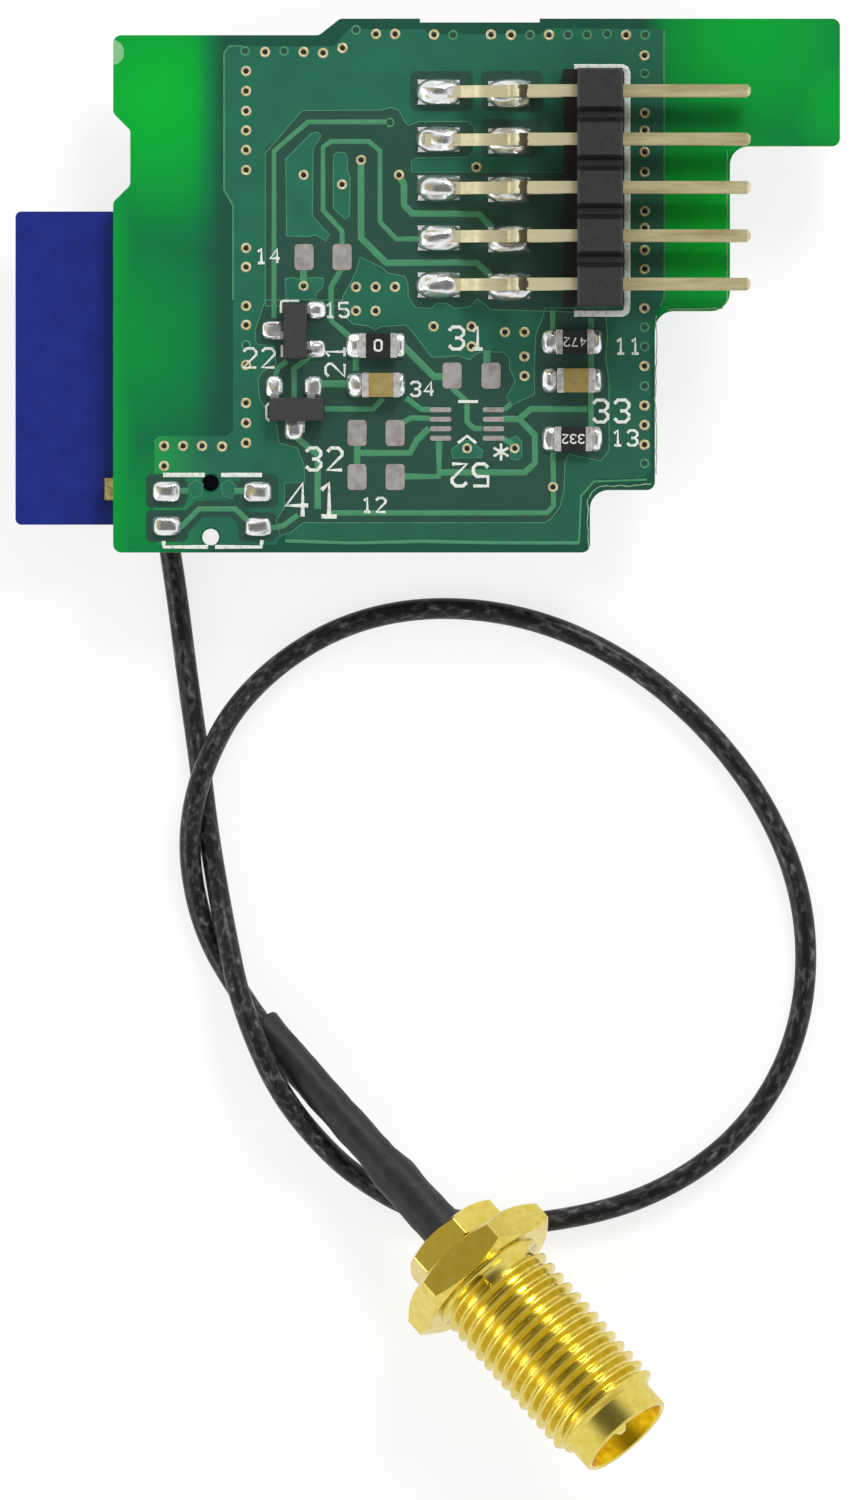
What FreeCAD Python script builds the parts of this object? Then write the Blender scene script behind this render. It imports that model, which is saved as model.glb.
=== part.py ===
import FreeCAD, Part
import math
import os
import re

import Sketcher

# Radio expansion module: a green circuit board that carries a 2 x 5 right-angle pin header, with a
# blue castellated radio board soldered to its back and a thin aerial cable that ends in a
# threaded panel jack.
#
# Frame: millimetres, +Z up. The module lies on its shield can with the header side up, and the
# aerial cable lies on the same surface. X runs along the board towards the header's free pins, and
# Y runs away from the cable. The origin is under the middle of the boards, on that surface.

Vector = FreeCAD.Vector

# Driving dimensions: name, value (mm, degrees or a count), meaning.
SIZES = [
    # Main board
    ("board_left", -16.55, "left edge of the main board"),
    ("board_top", 14.05, "far edge of the main board"),
    ("board_length", 38.26, "left edge to the end of the arm"),
    ("board_height", 28.10, "far edge to near edge"),
    ("board_thick", 1.60, "main board thickness"),
    ("arm_height", 6.71, "width of the arm under the free pins"),
    ("shoulder_length", 32.47, "left edge to the shoulder"),
    ("shoulder_drop", 15.39, "far edge to the shoulder's near side"),
    ("waist_length", 28.52, "left edge to the waist"),
    ("foot_rise", 3.29, "near edge to the waist's near side"),
    ("foot_length", 25.10, "left edge to the end of the near edge"),
    ("step_length", 10.84, "length of the set-back stretch of the far edge"),
    ("step_drop", 0.87, "set-back of that stretch"),
    ("step_slant", 1.10, "run-out of the set-back"),
    ("tab_start", 16.15, "left edge to the break-off tab's recess"),
    ("tab_length", 6.30, "length of the recess"),
    ("tab_depth", 0.20, "depth of the recess"),
    ("notch_drop", 4.97, "far edge to the side notch"),
    ("notch_height", 4.69, "length of the side notch"),
    ("notch_depth", 0.90, "depth of the side notch"),
    ("notch_slant", 0.90, "slanted ends of the side notch"),
    ("nub_rise", 3.92, "near edge to the broken nub's far side"),
    ("nub_width", 1.16, "width of the broken nub"),
    ("nub_reach", 0.45, "how far the nub stands out"),
    ("corner_round", 0.42, "outer corners"),
    ("inner_round", 1.00, "routed inner corners"),
    ("notch_round", 0.35, "corners of the notch and the step"),
    # Open locating holes of the push-button position
    ("peg_hole", 0.88, "diameter of the locating holes"),
    ("peg_x", -11.42, "locating holes, along the board"),
    ("peg_edge", 0.81, "near edge to the near locating hole"),
    ("peg_spacing", 2.85, "near to far locating hole"),
    # Radio board on the back
    ("radio_left", -21.71, "left edge of the radio board"),
    ("radio_bottom", -12.58, "near edge of the radio board"),
    ("radio_length", 27.00, "radio board length"),
    ("radio_width", 16.50, "radio board width"),
    ("radio_thick", 1.00, "radio board thickness"),
    ("radio_round", 0.30, "radio board corners"),
    ("cast_radius", 0.32, "castellation half-hole radius"),
    ("cast_pitch", 1.27, "castellation pitch"),
    ("cast_count", 14, "castellations on each long edge"),
    ("cast_start", 8.60, "left edge of the radio board to its first castellation"),
    ("solder_fit", 0.02, "gap between a solder post and its half-hole"),
    # Shield can and what it covers
    ("can_left", -11.20, "left wall of the shield can"),
    ("can_bottom", -11.50, "near wall of the shield can"),
    ("can_length", 15.50, "shield can length"),
    ("can_width", 14.20, "shield can width"),
    ("can_high", 2.60, "shield can height"),
    ("can_wall", 0.25, "shield can sheet"),
    ("can_round", 0.50, "shield can corners"),
    ("chip_side", 6.00, "radio chip side"),
    ("chip_high", 0.90, "radio chip height"),
    ("chip_gap", 1.20, "radio chip to the can's near and left walls"),
    ("amp_side", 3.00, "amplifier chip side"),
    ("amp_high", 0.75, "amplifier chip height"),
    ("amp_gap", 0.60, "amplifier chip to the can's far and left walls"),
    ("crystal_length", 3.20, "crystal length"),
    ("crystal_width", 2.50, "crystal width"),
    ("crystal_high", 0.70, "crystal height"),
    ("crystal_gap", 0.80, "crystal to the can's far and right walls"),
    # Aerial receptacle and plug on the radio board
    ("socket_side", 2.60, "receptacle base side"),
    ("socket_base", 0.35, "receptacle base thickness"),
    ("socket_radius", 1.00, "receptacle shell radius"),
    ("socket_wall", 0.20, "receptacle shell wall"),
    ("socket_high", 1.25, "receptacle height above the radio board"),
    ("contact_radius", 0.25, "receptacle centre contact radius"),
    ("plug_fit", 0.05, "gap between plug and receptacle"),
    ("plug_wall", 0.38, "plug shell wall"),
    ("plug_roof", 0.45, "plug shell roof"),
    ("plug_lip", 0.25, "gap between plug rim and receptacle base"),
    ("barrel_wall", 0.20, "plug cable barrel wall"),
    ("barrel_grip", 0.84, "length of cable held in the barrel"),
    # Pin header
    ("header_columns", 5, "pin pairs"),
    ("header_pitch", 2.54, "pin pitch"),
    ("header_x", 7.87, "header block's inner face"),
    ("header_y", 5.12, "middle pin pair"),
    ("header_depth", 2.40, "header block thickness"),
    ("header_length", 12.50, "header block length"),
    ("header_high", 5.08, "header block height"),
    ("ledge_reach", 0.72, "header foot ledge, reach"),
    ("ledge_high", 2.10, "header foot ledge, height"),
    ("groove_width", 0.86, "break groove width at the top"),
    ("groove_floor", 0.30, "break groove width at its floor"),
    ("groove_depth", 0.42, "break groove depth"),
    ("header_edge", 0.12, "header block edge chamfer"),
    ("pin_side", 0.64, "square pin side"),
    ("pin_fit", 0.01, "gap between pin and block"),
    ("pin_reach", 6.70, "free pin length beyond the block"),
    ("pin_point", 0.17, "pin point chamfer"),
    ("pin_bend", 0.25, "inside radius of a pin bend"),
    ("lower_row", 1.27, "lower pin row above the board"),
    ("leg_x", 4.71, "upper pins' upright leg"),
    ("ramp_x", 2.82, "upper pins' ramp"),
    ("upper_toe", -0.13, "end of the upper pins"),
    ("lower_ramp_x", 6.60, "lower pins' ramp"),
    ("lower_toe", 3.39, "end of the lower pins"),
    # Solder and pads
    ("film", 0.05, "pad and solder under a part"),
    ("pin_pad_width", 1.32, "header pad width"),
    ("pin_pad_toe", 0.45, "header pad beyond the pin's end"),
    ("pin_pad_length", 2.35, "header pad length"),
    ("pin_solder_rise", 0.45, "header solder height at the pin"),
    # Chip parts
    ("chip_long", 2.00, "chip part length"),
    ("chip_wide", 1.25, "chip part width"),
    ("resistor_high", 0.50, "chip resistor height"),
    ("capacitor_high", 0.85, "chip capacitor height"),
    ("cap_end", 0.35, "metal end length"),
    ("cap_proud", 0.02, "metal end thickness over the body"),
    ("chip_solder_out", 0.55, "solder beyond a chip's end"),
    ("chip_solder_rise", 0.40, "solder height at a chip's end"),
    ("chip_pad_wide", 1.34, "chip pad width"),
    # Transistors
    ("sot_long", 2.92, "transistor body length"),
    ("sot_wide", 1.25, "transistor body width"),
    ("sot_high", 0.95, "transistor body height"),
    ("sot_gap", 0.08, "transistor body above the board"),
    ("sot_draft", 8.0, "transistor body mould draft"),
    ("lead_wide", 0.42, "transistor lead width"),
    ("lead_thick", 0.13, "transistor lead thickness"),
    ("lead_pitch", 1.90, "transistor lead pair spacing"),
    ("lead_span", 2.44, "transistor lead toe to toe"),
    ("lead_foot", 0.38, "transistor lead foot length"),
    ("lead_solder", 0.25, "solder beyond a lead's toe"),
    # Bare and tinned pads
    ("button_pad_x", -13.74, "left column of the push-button pads"),
    ("button_pad_edge", 1.34, "near edge to the near row of the push-button pads"),
    ("button_pad_dx", 4.81, "push-button pad columns"),
    ("button_pad_dy", 1.84, "push-button pad rows"),
    ("button_pad_long", 1.45, "push-button pad length"),
    ("button_pad_wide", 1.00, "push-button pad width"),
    ("button_dome", 0.26, "solder dome height"),
    ("bare_pad_long", 1.37, "bare pad length"),
    ("bare_pad_wide", 1.00, "bare pad width"),
    ("bare_pad_corner", 0.20, "bare pad corner radius"),
    ("fine_pad_long", 1.12, "fine-pitch pad length"),
    ("fine_pad_wide", 0.26, "fine-pitch pad width"),
    ("fine_pad_corner", 0.10, "fine-pitch pad corner radius"),
    ("fine_pitch", 0.50, "fine-pitch pad spacing"),
    ("fine_row", 2.78, "fine-pitch pad row spacing"),
    # Aerial cable and what is on it
    ("cable_diameter", 1.13, "aerial cable over its jacket"),
    ("cable_fit", 0.05, "gap round the cable in a plug or ferrule"),
    ("sleeve_lead", 0.22, "sleeve before the cable's last bend"),
    ("sleeve_fit", 0.12, "gap between cable and sleeve"),
    ("sleeve_wall", 0.27, "shrink sleeve wall"),
    ("sleeve_length", 15.33, "shrink sleeve length"),
    ("sleeve_blend", 0.35, "length of each shoulder of the sleeve"),
    ("ferrule_wall", 0.22, "crimp ferrule wall"),
    ("ferrule_length", 4.80, "crimp ferrule length"),
    ("ferrule_fit", 0.03, "gap between ferrule and sleeve"),
    ("tail_hex", 5.20, "rear hexagon across flats"),
    ("tail_hex_long", 1.50, "rear hexagon length"),
    ("tail_neck", 0.12, "neck between the hexagons"),
    ("flange_hex", 8.00, "flange hexagon across flats"),
    ("flange_long", 1.72, "flange hexagon length"),
    ("flange_turn", 4.7, "turn of the flange about the axis"),
    ("tail_hex_turn", 14.7, "turn of the rear hexagon about the axis"),
    ("hex_bevel", 0.30, "bevel of the hexagons' corners"),
    ("relief_radius", 2.75, "thread relief radius"),
    ("relief_long", 0.45, "thread relief length"),
    ("thread_radius", 3.175, "thread major radius"),
    ("thread_long", 9.22, "thread length"),
    ("thread_bevel", 0.35, "thread run-in bevel"),
    ("mouth_radius", 2.65, "plain mouth radius"),
    ("mouth_long", 1.60, "plain mouth length"),
    ("mouth_bore", 2.33, "mouth bore radius"),
    ("mouth_depth", 4.20, "mouth bore depth"),
    ("jack_bore", 2.05, "dielectric bore radius"),
    ("jack_depth", 13.60, "mouth to the end of the dielectric bore"),
    ("dielectric_fit", 0.02, "gap round the dielectric"),
    ("jack_pin", 0.46, "centre pin radius"),
    ("jack_pin_tip", 0.35, "mouth to the centre pin's tip"),
    ("jack_pin_point", 0.25, "centre pin's point"),
    ("jack_pin_fit", 0.02, "gap round the centre pin"),
]

# Small parts on the main board: node name, X, Y of its middle, and its height's size name.
CHIPS = [
    ("jumper", -2.60, -3.16, "resistor_high"),
    ("capacitor_1", -2.45, -5.24, "capacitor_high"),
    ("resistor_1", 7.76, -2.97, "resistor_high"),
    ("capacitor_2", 7.82, -5.00, "capacitor_high"),
    ("resistor_2", 7.68, -8.08, "resistor_high"),
]
# Transistors: node name, X, Y and turn in degrees.
TRANSISTORS = [
    ("transistor_1", -6.97, -2.42, 90),
    ("transistor_2", -6.87, -6.53, 180),
]
# Unpopulated positions: X, Y of the middle of each bare pad.
BARE_PADS = [
    (-6.50, 1.50), (-4.50, 1.50), (-3.71, -7.76), (-1.71, -7.76),
    (-3.71, -10.08), (-1.71, -10.08), (1.29, -4.74), (3.34, -4.74),
]
# Middle of the unpopulated fine-pitch chip position.
FINE_CHIP = (2.08, -7.29)

# Route of the aerial cable: X, Y, Z of the corners that its arcs round off. It leaves the plug
# under the board, passes under its own last stretch, climbs over that stretch and the sleeve's
# tail, goes under the jack's flange, makes one loop to the right and comes back to the sleeve.
CABLE_ROUTE = [
    (-13.89, -11.71, 1.10),
    (-13.66, -13.45, 1.10),
    (-13.21, -16.34, 0.58),
    (-12.68, -20.55, 0.57),
    (-12.05, -24.87, 0.57),
    (-11.58, -28.76, 0.57),
    (-11.03, -32.03, 0.85),
    (-10.53, -34.61, 1.75),
    (-10.03, -37.03, 2.35),
    (-9.11, -39.71, 2.75),
    (-7.82, -42.45, 2.85),
    (-6.08, -44.76, 1.90),
    (-3.87, -46.92, 0.80),
    (-0.50, -48.87, 0.57),
    (3.50, -49.61, 0.57),
    (7.76, -49.16, 0.57),
    (11.71, -48.03, 0.57),
    (15.34, -45.84, 0.57),
    (18.08, -42.74, 0.57),
    (19.66, -39.03, 0.57),
    (20.08, -34.97, 0.57),
    (19.47, -31.08, 0.57),
    (17.87, -27.45, 0.57),
    (15.71, -24.39, 0.57),
    (13.03, -21.66, 0.57),
    (9.97, -19.45, 0.57),
    (6.45, -17.79, 0.57),
    (2.66, -16.97, 0.57),
    (-1.18, -17.00, 0.57),
    (-4.71, -17.95, 0.57),
    (-7.82, -19.82, 0.60),
    (-10.18, -22.18, 1.15),
    (-11.50, -24.61, 1.95),
    (-12.34, -27.08, 1.90),
    (-12.61, -29.71, 1.10),
    (-12.21, -32.50, 0.57),
    (-11.39, -34.82, 0.57),
    (-10.13, -36.92, 0.75),
    (-8.66, -39.08, 1.03),
    (-5.50, -42.62, 2.26),
    (-1.90, -46.66, 3.68),
]
ARC_SHARE = 0.45    # share of the shorter run that each arc of the cable takes up

doc = FreeCAD.newDocument("radio_module")
sheet = doc.addObject("Spreadsheet::Sheet", "Sizes")
for row, (alias, number, meaning) in enumerate(SIZES, start=1):
    sheet.set(f"A{row}", meaning)
    sheet.set(f"B{row}", str(number))
    sheet.setAlias(f"B{row}", alias)
doc.recompute()

ALIASES = {alias for alias, number, meaning in SIZES}
SUBPARTS = []


def linked(text):
    """The expression with each size name pointing into the sheet."""
    return re.sub(r"[a-z_][a-z_0-9]*", lambda m: "Sizes." + m[0] if m[0] in ALIASES else m[0], text)


def value(text):
    """The number that an expression of size names gives now."""
    return float(sheet.evalExpression(linked(str(text))))


# Heights and places that several pieces share, as expressions of the driving dimensions.
RADIO_TOP = "(can_high + radio_thick)"
BOARD_UP = "(can_high + radio_thick + board_thick)"
TAIL_START = "(sleeve_length - ferrule_length)"
HEX_END = "(sleeve_length + tail_hex_long)"
# Inner faces of the can's walls
CAN_LEFT = "can_left + can_wall"
CAN_RIGHT = "can_left + can_length - can_wall"
CAN_NEAR = "can_bottom + can_wall"
CAN_FAR = "can_bottom + can_width - can_wall"
FLANGE_START = "(sleeve_length + tail_hex_long + tail_neck)"
FLANGE_END = "(sleeve_length + tail_hex_long + tail_neck + flange_long)"
RELIEF_END = "(sleeve_length + tail_hex_long + tail_neck + flange_long + relief_long)"
THREAD_END = "(sleeve_length + tail_hex_long + tail_neck + flange_long + relief_long + thread_long)"
MOUTH = ("(sleeve_length + tail_hex_long + tail_neck + flange_long + relief_long + thread_long"
         " + mouth_long)")


def new_body(name):
    """A PartDesign body whose label is the sub-part's name."""
    body = doc.addObject("PartDesign::Body", name)
    body.Label = name
    SUBPARTS.append(body)
    return body


def new_feature(name, shape):
    """A sub-part whose shape is made with Part's own functions."""
    feature = doc.addObject("Part::Feature", name)
    feature.Label = name
    feature.Shape = shape
    SUBPARTS.append(feature)
    return feature


def place(part, at_x, at_y, at_z):
    """Ties a sub-part's placement to the sheet."""
    for axis, text in zip("xyz", (at_x, at_y, at_z)):
        part.setExpression(f"Placement.Base.{axis}", linked(str(text)))


def new_sketch(body, name, plane, height=None):
    """A sketch on one of the body's own origin planes, raised by a height."""
    sketch = body.newObject("Sketcher::SketchObject", name)
    base = [f for f in body.Origin.OriginFeatures if f.Role == plane + "_Plane"][0]
    sketch.AttachmentSupport = (base, [""])
    sketch.MapMode = "FlatFace"
    if height is not None:
        sketch.setExpression("AttachmentOffset.Base.z", linked(height))
    return sketch


def draw_polygon(sketch, corners):
    """Closed outline whose corners are pairs of expressions."""
    first = sketch.GeometryCount
    points = [Vector(value(x), value(y), 0) for x, y in corners]
    count = len(points)
    for i in range(count):
        sketch.addGeometry(Part.LineSegment(points[i], points[(i + 1) % count]))
    for i in range(count):
        sketch.addConstraint(
            Sketcher.Constraint("Coincident", first + i, 2, first + (i + 1) % count, 1))
    for i, (x, y) in enumerate(corners):
        for kind, text, number in (("DistanceX", x, points[i].x), ("DistanceY", y, points[i].y)):
            index = sketch.addConstraint(
                Sketcher.Constraint(kind, -1, 1, first + i, 1, number))
            sketch.setExpression(f"Constraints[{index}]", linked(str(text)))


def draw_rectangle(sketch, left, right, bottom, top):
    """Rectangle between four expressions."""
    draw_polygon(sketch, [(left, bottom), (right, bottom), (right, top), (left, top)])


def draw_circle(sketch, centre_x, centre_y, radius):
    """Circle whose centre and radius are expressions."""
    index = sketch.addGeometry(
        Part.Circle(Vector(value(centre_x), value(centre_y), 0), Vector(0, 0, 1), value(radius)))
    for kind, text in (("DistanceX", centre_x), ("DistanceY", centre_y)):
        c = sketch.addConstraint(Sketcher.Constraint(kind, -1, 1, index, 3, value(text)))
        sketch.setExpression(f"Constraints[{c}]", linked(str(text)))
    c = sketch.addConstraint(Sketcher.Constraint("Radius", index, value(radius)))
    sketch.setExpression(f"Constraints[{c}]", linked(str(radius)))


def pad(body, sketch, length, symmetric=False, down=False, taper=None):
    """Pad of a sketch; down turns it to the other side of its plane."""
    feature = body.newObject("PartDesign::Pad", sketch.Name + "_pad")
    feature.Profile = sketch
    feature.setExpression("Length", linked(str(length)))
    if symmetric:
        feature.SideType = "Symmetric"
    feature.Reversed = down
    if taper:
        feature.setExpression("TaperAngle", "-" + linked(taper))
    doc.recompute()
    return feature


def pocket(body, sketch, length=None, symmetric=False, down=True):
    """Pocket of a sketch; with no length it goes through all."""
    feature = body.newObject("PartDesign::Pocket", sketch.Name + "_pocket")
    feature.Profile = sketch
    if length is None:
        feature.Type = "ThroughAll"
    else:
        feature.setExpression("Length", linked(str(length)))
    if symmetric:
        feature.SideType = "Symmetric"
    feature.Reversed = not down
    doc.recompute()
    return feature


def turn_about_axis(body, sketch, cut=False):
    """Revolution, or groove, of a sketch about its own horizontal axis."""
    kind = "PartDesign::Groove" if cut else "PartDesign::Revolution"
    feature = body.newObject(kind, sketch.Name + "_turned")
    feature.Profile = sketch
    feature.ReferenceAxis = (sketch, ["H_Axis"])
    feature.Angle = 360
    doc.recompute()
    return feature


def repeat(body, feature, sketch, axis, pitch, count):
    """Linear pattern of a feature along a sketch axis."""
    pattern = body.newObject("PartDesign::LinearPattern", feature.Name + "_row")
    pattern.Originals = [feature]
    pattern.Direction = (sketch, [axis])
    pattern.setExpression("Length", linked(f"({pitch}) * ({count} - 1)"))
    pattern.setExpression("Occurrences", linked(str(count)))
    body.Tip = pattern
    doc.recompute()
    return pattern


def edges_where(shape, test):
    """Names of the edges whose middle point and direction pass the test."""
    names = []
    for index, edge in enumerate(shape.Edges, start=1):
        middle = edge.valueAt(0.5 * (edge.FirstParameter + edge.LastParameter))
        span = edge.Vertexes[-1].Point - edge.Vertexes[0].Point
        if test(middle, span):
            names.append(f"Edge{index}")
    return names


def round_edges(body, base, names, radius, kind="Fillet"):
    """Fillet or chamfer of named edges."""
    feature = body.newObject(f"PartDesign::{kind}", f"{base.Name}_{kind.lower()}")
    feature.Base = (base, names)
    feature.setExpression("Radius" if kind == "Fillet" else "Size", linked(str(radius)))
    doc.recompute()
    return feature


def corner_edges(shape, corners, along):
    """Edges that run along one axis and pass through given corners of a sketch plane."""
    near = 0.02
    names = []
    for x, y in corners:
        a, b = value(x), value(y)

        def test(middle, span):
            if along == "z":
                return (abs(middle.x - a) < near and abs(middle.y - b) < near
                        and abs(span.x) + abs(span.y) < near)
            return (abs(middle.x - a) < near and abs(middle.z - b) < near
                    and abs(span.x) + abs(span.z) < near)

        names += edges_where(shape, test)
    return names


def main_board():
    """Routed glass-fibre board with its arm, shoulder, waist, notch and broken tabs."""
    body = new_body("main_board")
    place(body, 0, 0, RADIO_TOP)
    left = "board_left"
    top = "board_top"
    far_left = [(left, f"{top} - step_drop")]
    step = [(f"{left} + step_length", f"{top} - step_drop"),
            (f"{left} + step_length + step_slant", top)]
    tab = [(f"{left} + tab_start", top),
           (f"{left} + tab_start", f"{top} - tab_depth"),
           (f"{left} + tab_start + tab_length", f"{top} - tab_depth"),
           (f"{left} + tab_start + tab_length", top)]
    arm = [(f"{left} + board_length", top),
           (f"{left} + board_length", f"{top} - arm_height")]
    armpit = [(f"{left} + shoulder_length", f"{top} - arm_height")]
    shoulder = [(f"{left} + shoulder_length", f"{top} - shoulder_drop")]
    under_shoulder = [(f"{left} + waist_length", f"{top} - shoulder_drop")]
    waist = [(f"{left} + waist_length", f"{top} - board_height + foot_rise")]
    under_waist = [(f"{left} + foot_length", f"{top} - board_height + foot_rise")]
    foot = [(f"{left} + foot_length", f"{top} - board_height"),
            (left, f"{top} - board_height")]
    nub_top = f"{top} - board_height + nub_rise"
    nub = [(left, f"{nub_top} - nub_width"),
           (f"{left} - nub_reach", f"{nub_top} - nub_width"),
           (f"{left} - nub_reach", nub_top),
           (left, nub_top)]
    notch = [(left, f"{top} - notch_drop - notch_height"),
             (f"{left} + notch_depth", f"{top} - notch_drop - notch_height + notch_slant"),
             (f"{left} + notch_depth", f"{top} - notch_drop - notch_slant"),
             (left, f"{top} - notch_drop")]
    outline = new_sketch(body, "board_outline", "XY")
    draw_polygon(outline, far_left + step + tab + arm + armpit + shoulder + under_shoulder
                 + waist + under_waist + foot + nub + notch)
    solid = pad(body, outline, "board_thick")
    solid = round_edges(body, solid, corner_edges(
        solid.Shape, far_left + arm + waist + foot, "z"), "corner_round")
    solid = round_edges(body, solid, corner_edges(
        solid.Shape, armpit + shoulder + under_shoulder + under_waist, "z"), "inner_round")
    round_edges(body, solid, corner_edges(solid.Shape, step + notch, "z"), "notch_round")
    holes = new_sketch(body, "peg_holes", "XY")
    near_peg = f"{top} - board_height + peg_edge"
    draw_circle(holes, "peg_x", near_peg, "peg_hole / 2")
    draw_circle(holes, "peg_x", f"{near_peg} + peg_spacing", "peg_hole / 2")
    pocket(body, holes, down=False)


def radio_board():
    """Blue board under the main board, with castellated long edges."""
    body = new_body("radio_board")
    place(body, "radio_left", "radio_bottom", "can_high")
    outline = new_sketch(body, "radio_outline", "XY")
    draw_rectangle(outline, 0, "radio_length", 0, "radio_width")
    solid = pad(body, outline, "radio_thick")
    corners = [(x, y) for x in ("0", "radio_length") for y in ("0", "radio_width")]
    round_edges(body, solid, corner_edges(solid.Shape, corners, "z"), "radio_round")
    holes = new_sketch(body, "castellations", "XY")
    draw_circle(holes, "cast_start", 0, "cast_radius")
    draw_circle(holes, "cast_start", "radio_width", "cast_radius")
    cut = pocket(body, holes, down=False)
    repeat(body, cut, holes, "H_Axis", "cast_pitch", "cast_count")


def radio_board_solder():
    """Solder posts in the castellations, with a foot against the main board."""
    radius = value("cast_radius - solder_fit")
    thick = value("radio_thick")
    posts = []
    for edge_y in (0.0, value("radio_width")):
        for i in range(int(value("cast_count"))):
            at_x = value("cast_start") + i * value("cast_pitch")
            posts.append(Part.makeCylinder(radius, thick, Vector(at_x, edge_y, 0)))
    part = new_feature("radio_board_solder", Part.makeCompound(posts))
    place(part, "radio_left", "radio_bottom", "can_high")


def shield_can():
    """Drawn tin cover, open towards the radio board."""
    body = new_body("shield_can")
    place(body, "can_left", "can_bottom", 0)
    outline = new_sketch(body, "can_outline", "XY")
    draw_rectangle(outline, 0, "can_length", 0, "can_width")
    solid = pad(body, outline, "can_high")
    corners = [(x, y) for x in ("0", "can_length") for y in ("0", "can_width")]
    solid = round_edges(body, solid, corner_edges(solid.Shape, corners, "z"), "can_round")
    rim = edges_where(solid.Shape, lambda middle, span: abs(middle.z) < 0.001)
    round_edges(body, solid, rim, "can_wall * 0.8")
    inside = new_sketch(body, "can_inside", "XY", "can_high")
    draw_rectangle(inside, "can_wall", "can_length - can_wall", "can_wall", "can_width - can_wall")
    pocket(body, inside, "can_high - can_wall")


def flat_chip(name, centre_x, centre_y, length, width, high, bevel):
    """Low package on the radio board's outer face, with a bevelled top edge."""
    body = new_body(name)
    place(body, centre_x, centre_y, f"can_high - {high}")
    outline = new_sketch(body, name + "_outline", "XY")
    draw_rectangle(outline, f"-{length} / 2", f"{length} / 2", f"-{width} / 2", f"{width} / 2")
    solid = pad(body, outline, high)
    rim = edges_where(solid.Shape, lambda middle, span: abs(middle.z) < 0.001)
    round_edges(body, solid, rim, bevel, kind="Chamfer")


def aerial_receptacle():
    """Surface-mount coaxial receptacle: base, shell and centre contact."""
    centre = plug_centre()
    body = new_body("receptacle_base")
    place(body, centre.x, centre.y, "can_high - socket_base")
    outline = new_sketch(body, "receptacle_outline", "XY")
    half = "socket_side / 2"
    draw_rectangle(outline, f"-{half}", half, f"-{half}", half)
    solid = pad(body, outline, "socket_base")
    corners = [(x, y) for x in (f"-{half}", half) for y in (f"-{half}", half)]
    round_edges(body, solid, corner_edges(solid.Shape, corners, "z"), "socket_side / 12", "Chamfer")

    shell = new_body("receptacle_shell")
    place(shell, centre.x, centre.y, "can_high - socket_high")
    ring = new_sketch(shell, "receptacle_ring", "XY")
    draw_circle(ring, 0, 0, "socket_radius")
    draw_circle(ring, 0, 0, "socket_radius - socket_wall")
    pad(shell, ring, "socket_high - socket_base")

    contact = new_body("receptacle_contact")
    place(contact, centre.x, centre.y, "can_high - socket_high + socket_wall / 2")
    dot = new_sketch(contact, "receptacle_dot", "XY")
    draw_circle(dot, 0, 0, "contact_radius")
    pad(contact, dot, "socket_high - socket_base - socket_wall / 2")


def plug_direction():
    """Unit direction in which the cable leaves its plug."""
    first, second = (Vector(*point) for point in CABLE_ROUTE[:2])
    return (second - first).normalize()


def plug_reach():
    """From the plug's axis to the cable's end inside its barrel."""
    return value("socket_radius + plug_fit + plug_wall") + 0.12


def plug_centre():
    """Axis of plug and receptacle: on the cable's first run, produced backwards."""
    return Vector(*CABLE_ROUTE[0]) - plug_direction() * plug_reach()


def aerial_plug():
    """Pressed coaxial plug: a cup over the receptacle with a barrel that grips the cable."""
    inner = value("socket_radius + plug_fit")
    outer = inner + value("plug_wall")
    rim = value("can_high - socket_base - plug_lip")
    roof = value("can_high - socket_high - plug_fit")
    under = roof - value("plug_roof")
    cable_z = CABLE_ROUTE[0][2]
    bore = value("cable_diameter / 2 + cable_fit")
    barrel = bore + value("barrel_wall")
    along = Vector(1, 0, 0)
    cup = Part.makeCylinder(outer, rim - under, Vector(0, 0, under))
    barrel_start = Vector(outer * 0.5, 0, cable_z)
    barrel_length = plug_reach() + value("barrel_grip") - barrel_start.x
    cup = cup.fuse(Part.makeCylinder(barrel, barrel_length, barrel_start, along))
    cup = cup.cut(Part.makeCylinder(inner, rim - roof, Vector(0, 0, roof)))
    cup = cup.cut(Part.makeCylinder(bore, value("barrel_grip") + 1,
                                    Vector(plug_reach(), 0, cable_z), along))
    insulator = Part.makeCylinder(value("socket_radius - socket_wall - plug_fit"),
                                  rim - roof - value("plug_fit"), Vector(0, 0, roof))
    insulator = insulator.cut(Part.makeCylinder(value("contact_radius + plug_fit"), rim - roof,
                                                Vector(0, 0, roof)))
    direction = plug_direction()
    heading = math.degrees(math.atan2(direction.y, direction.x))
    centre = plug_centre()
    spot = FreeCAD.Placement(Vector(centre.x, centre.y, 0), FreeCAD.Rotation(heading, 0, 0))
    new_feature("plug_shell", cup).Placement = spot
    new_feature("plug_insulator", insulator).Placement = spot


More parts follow.
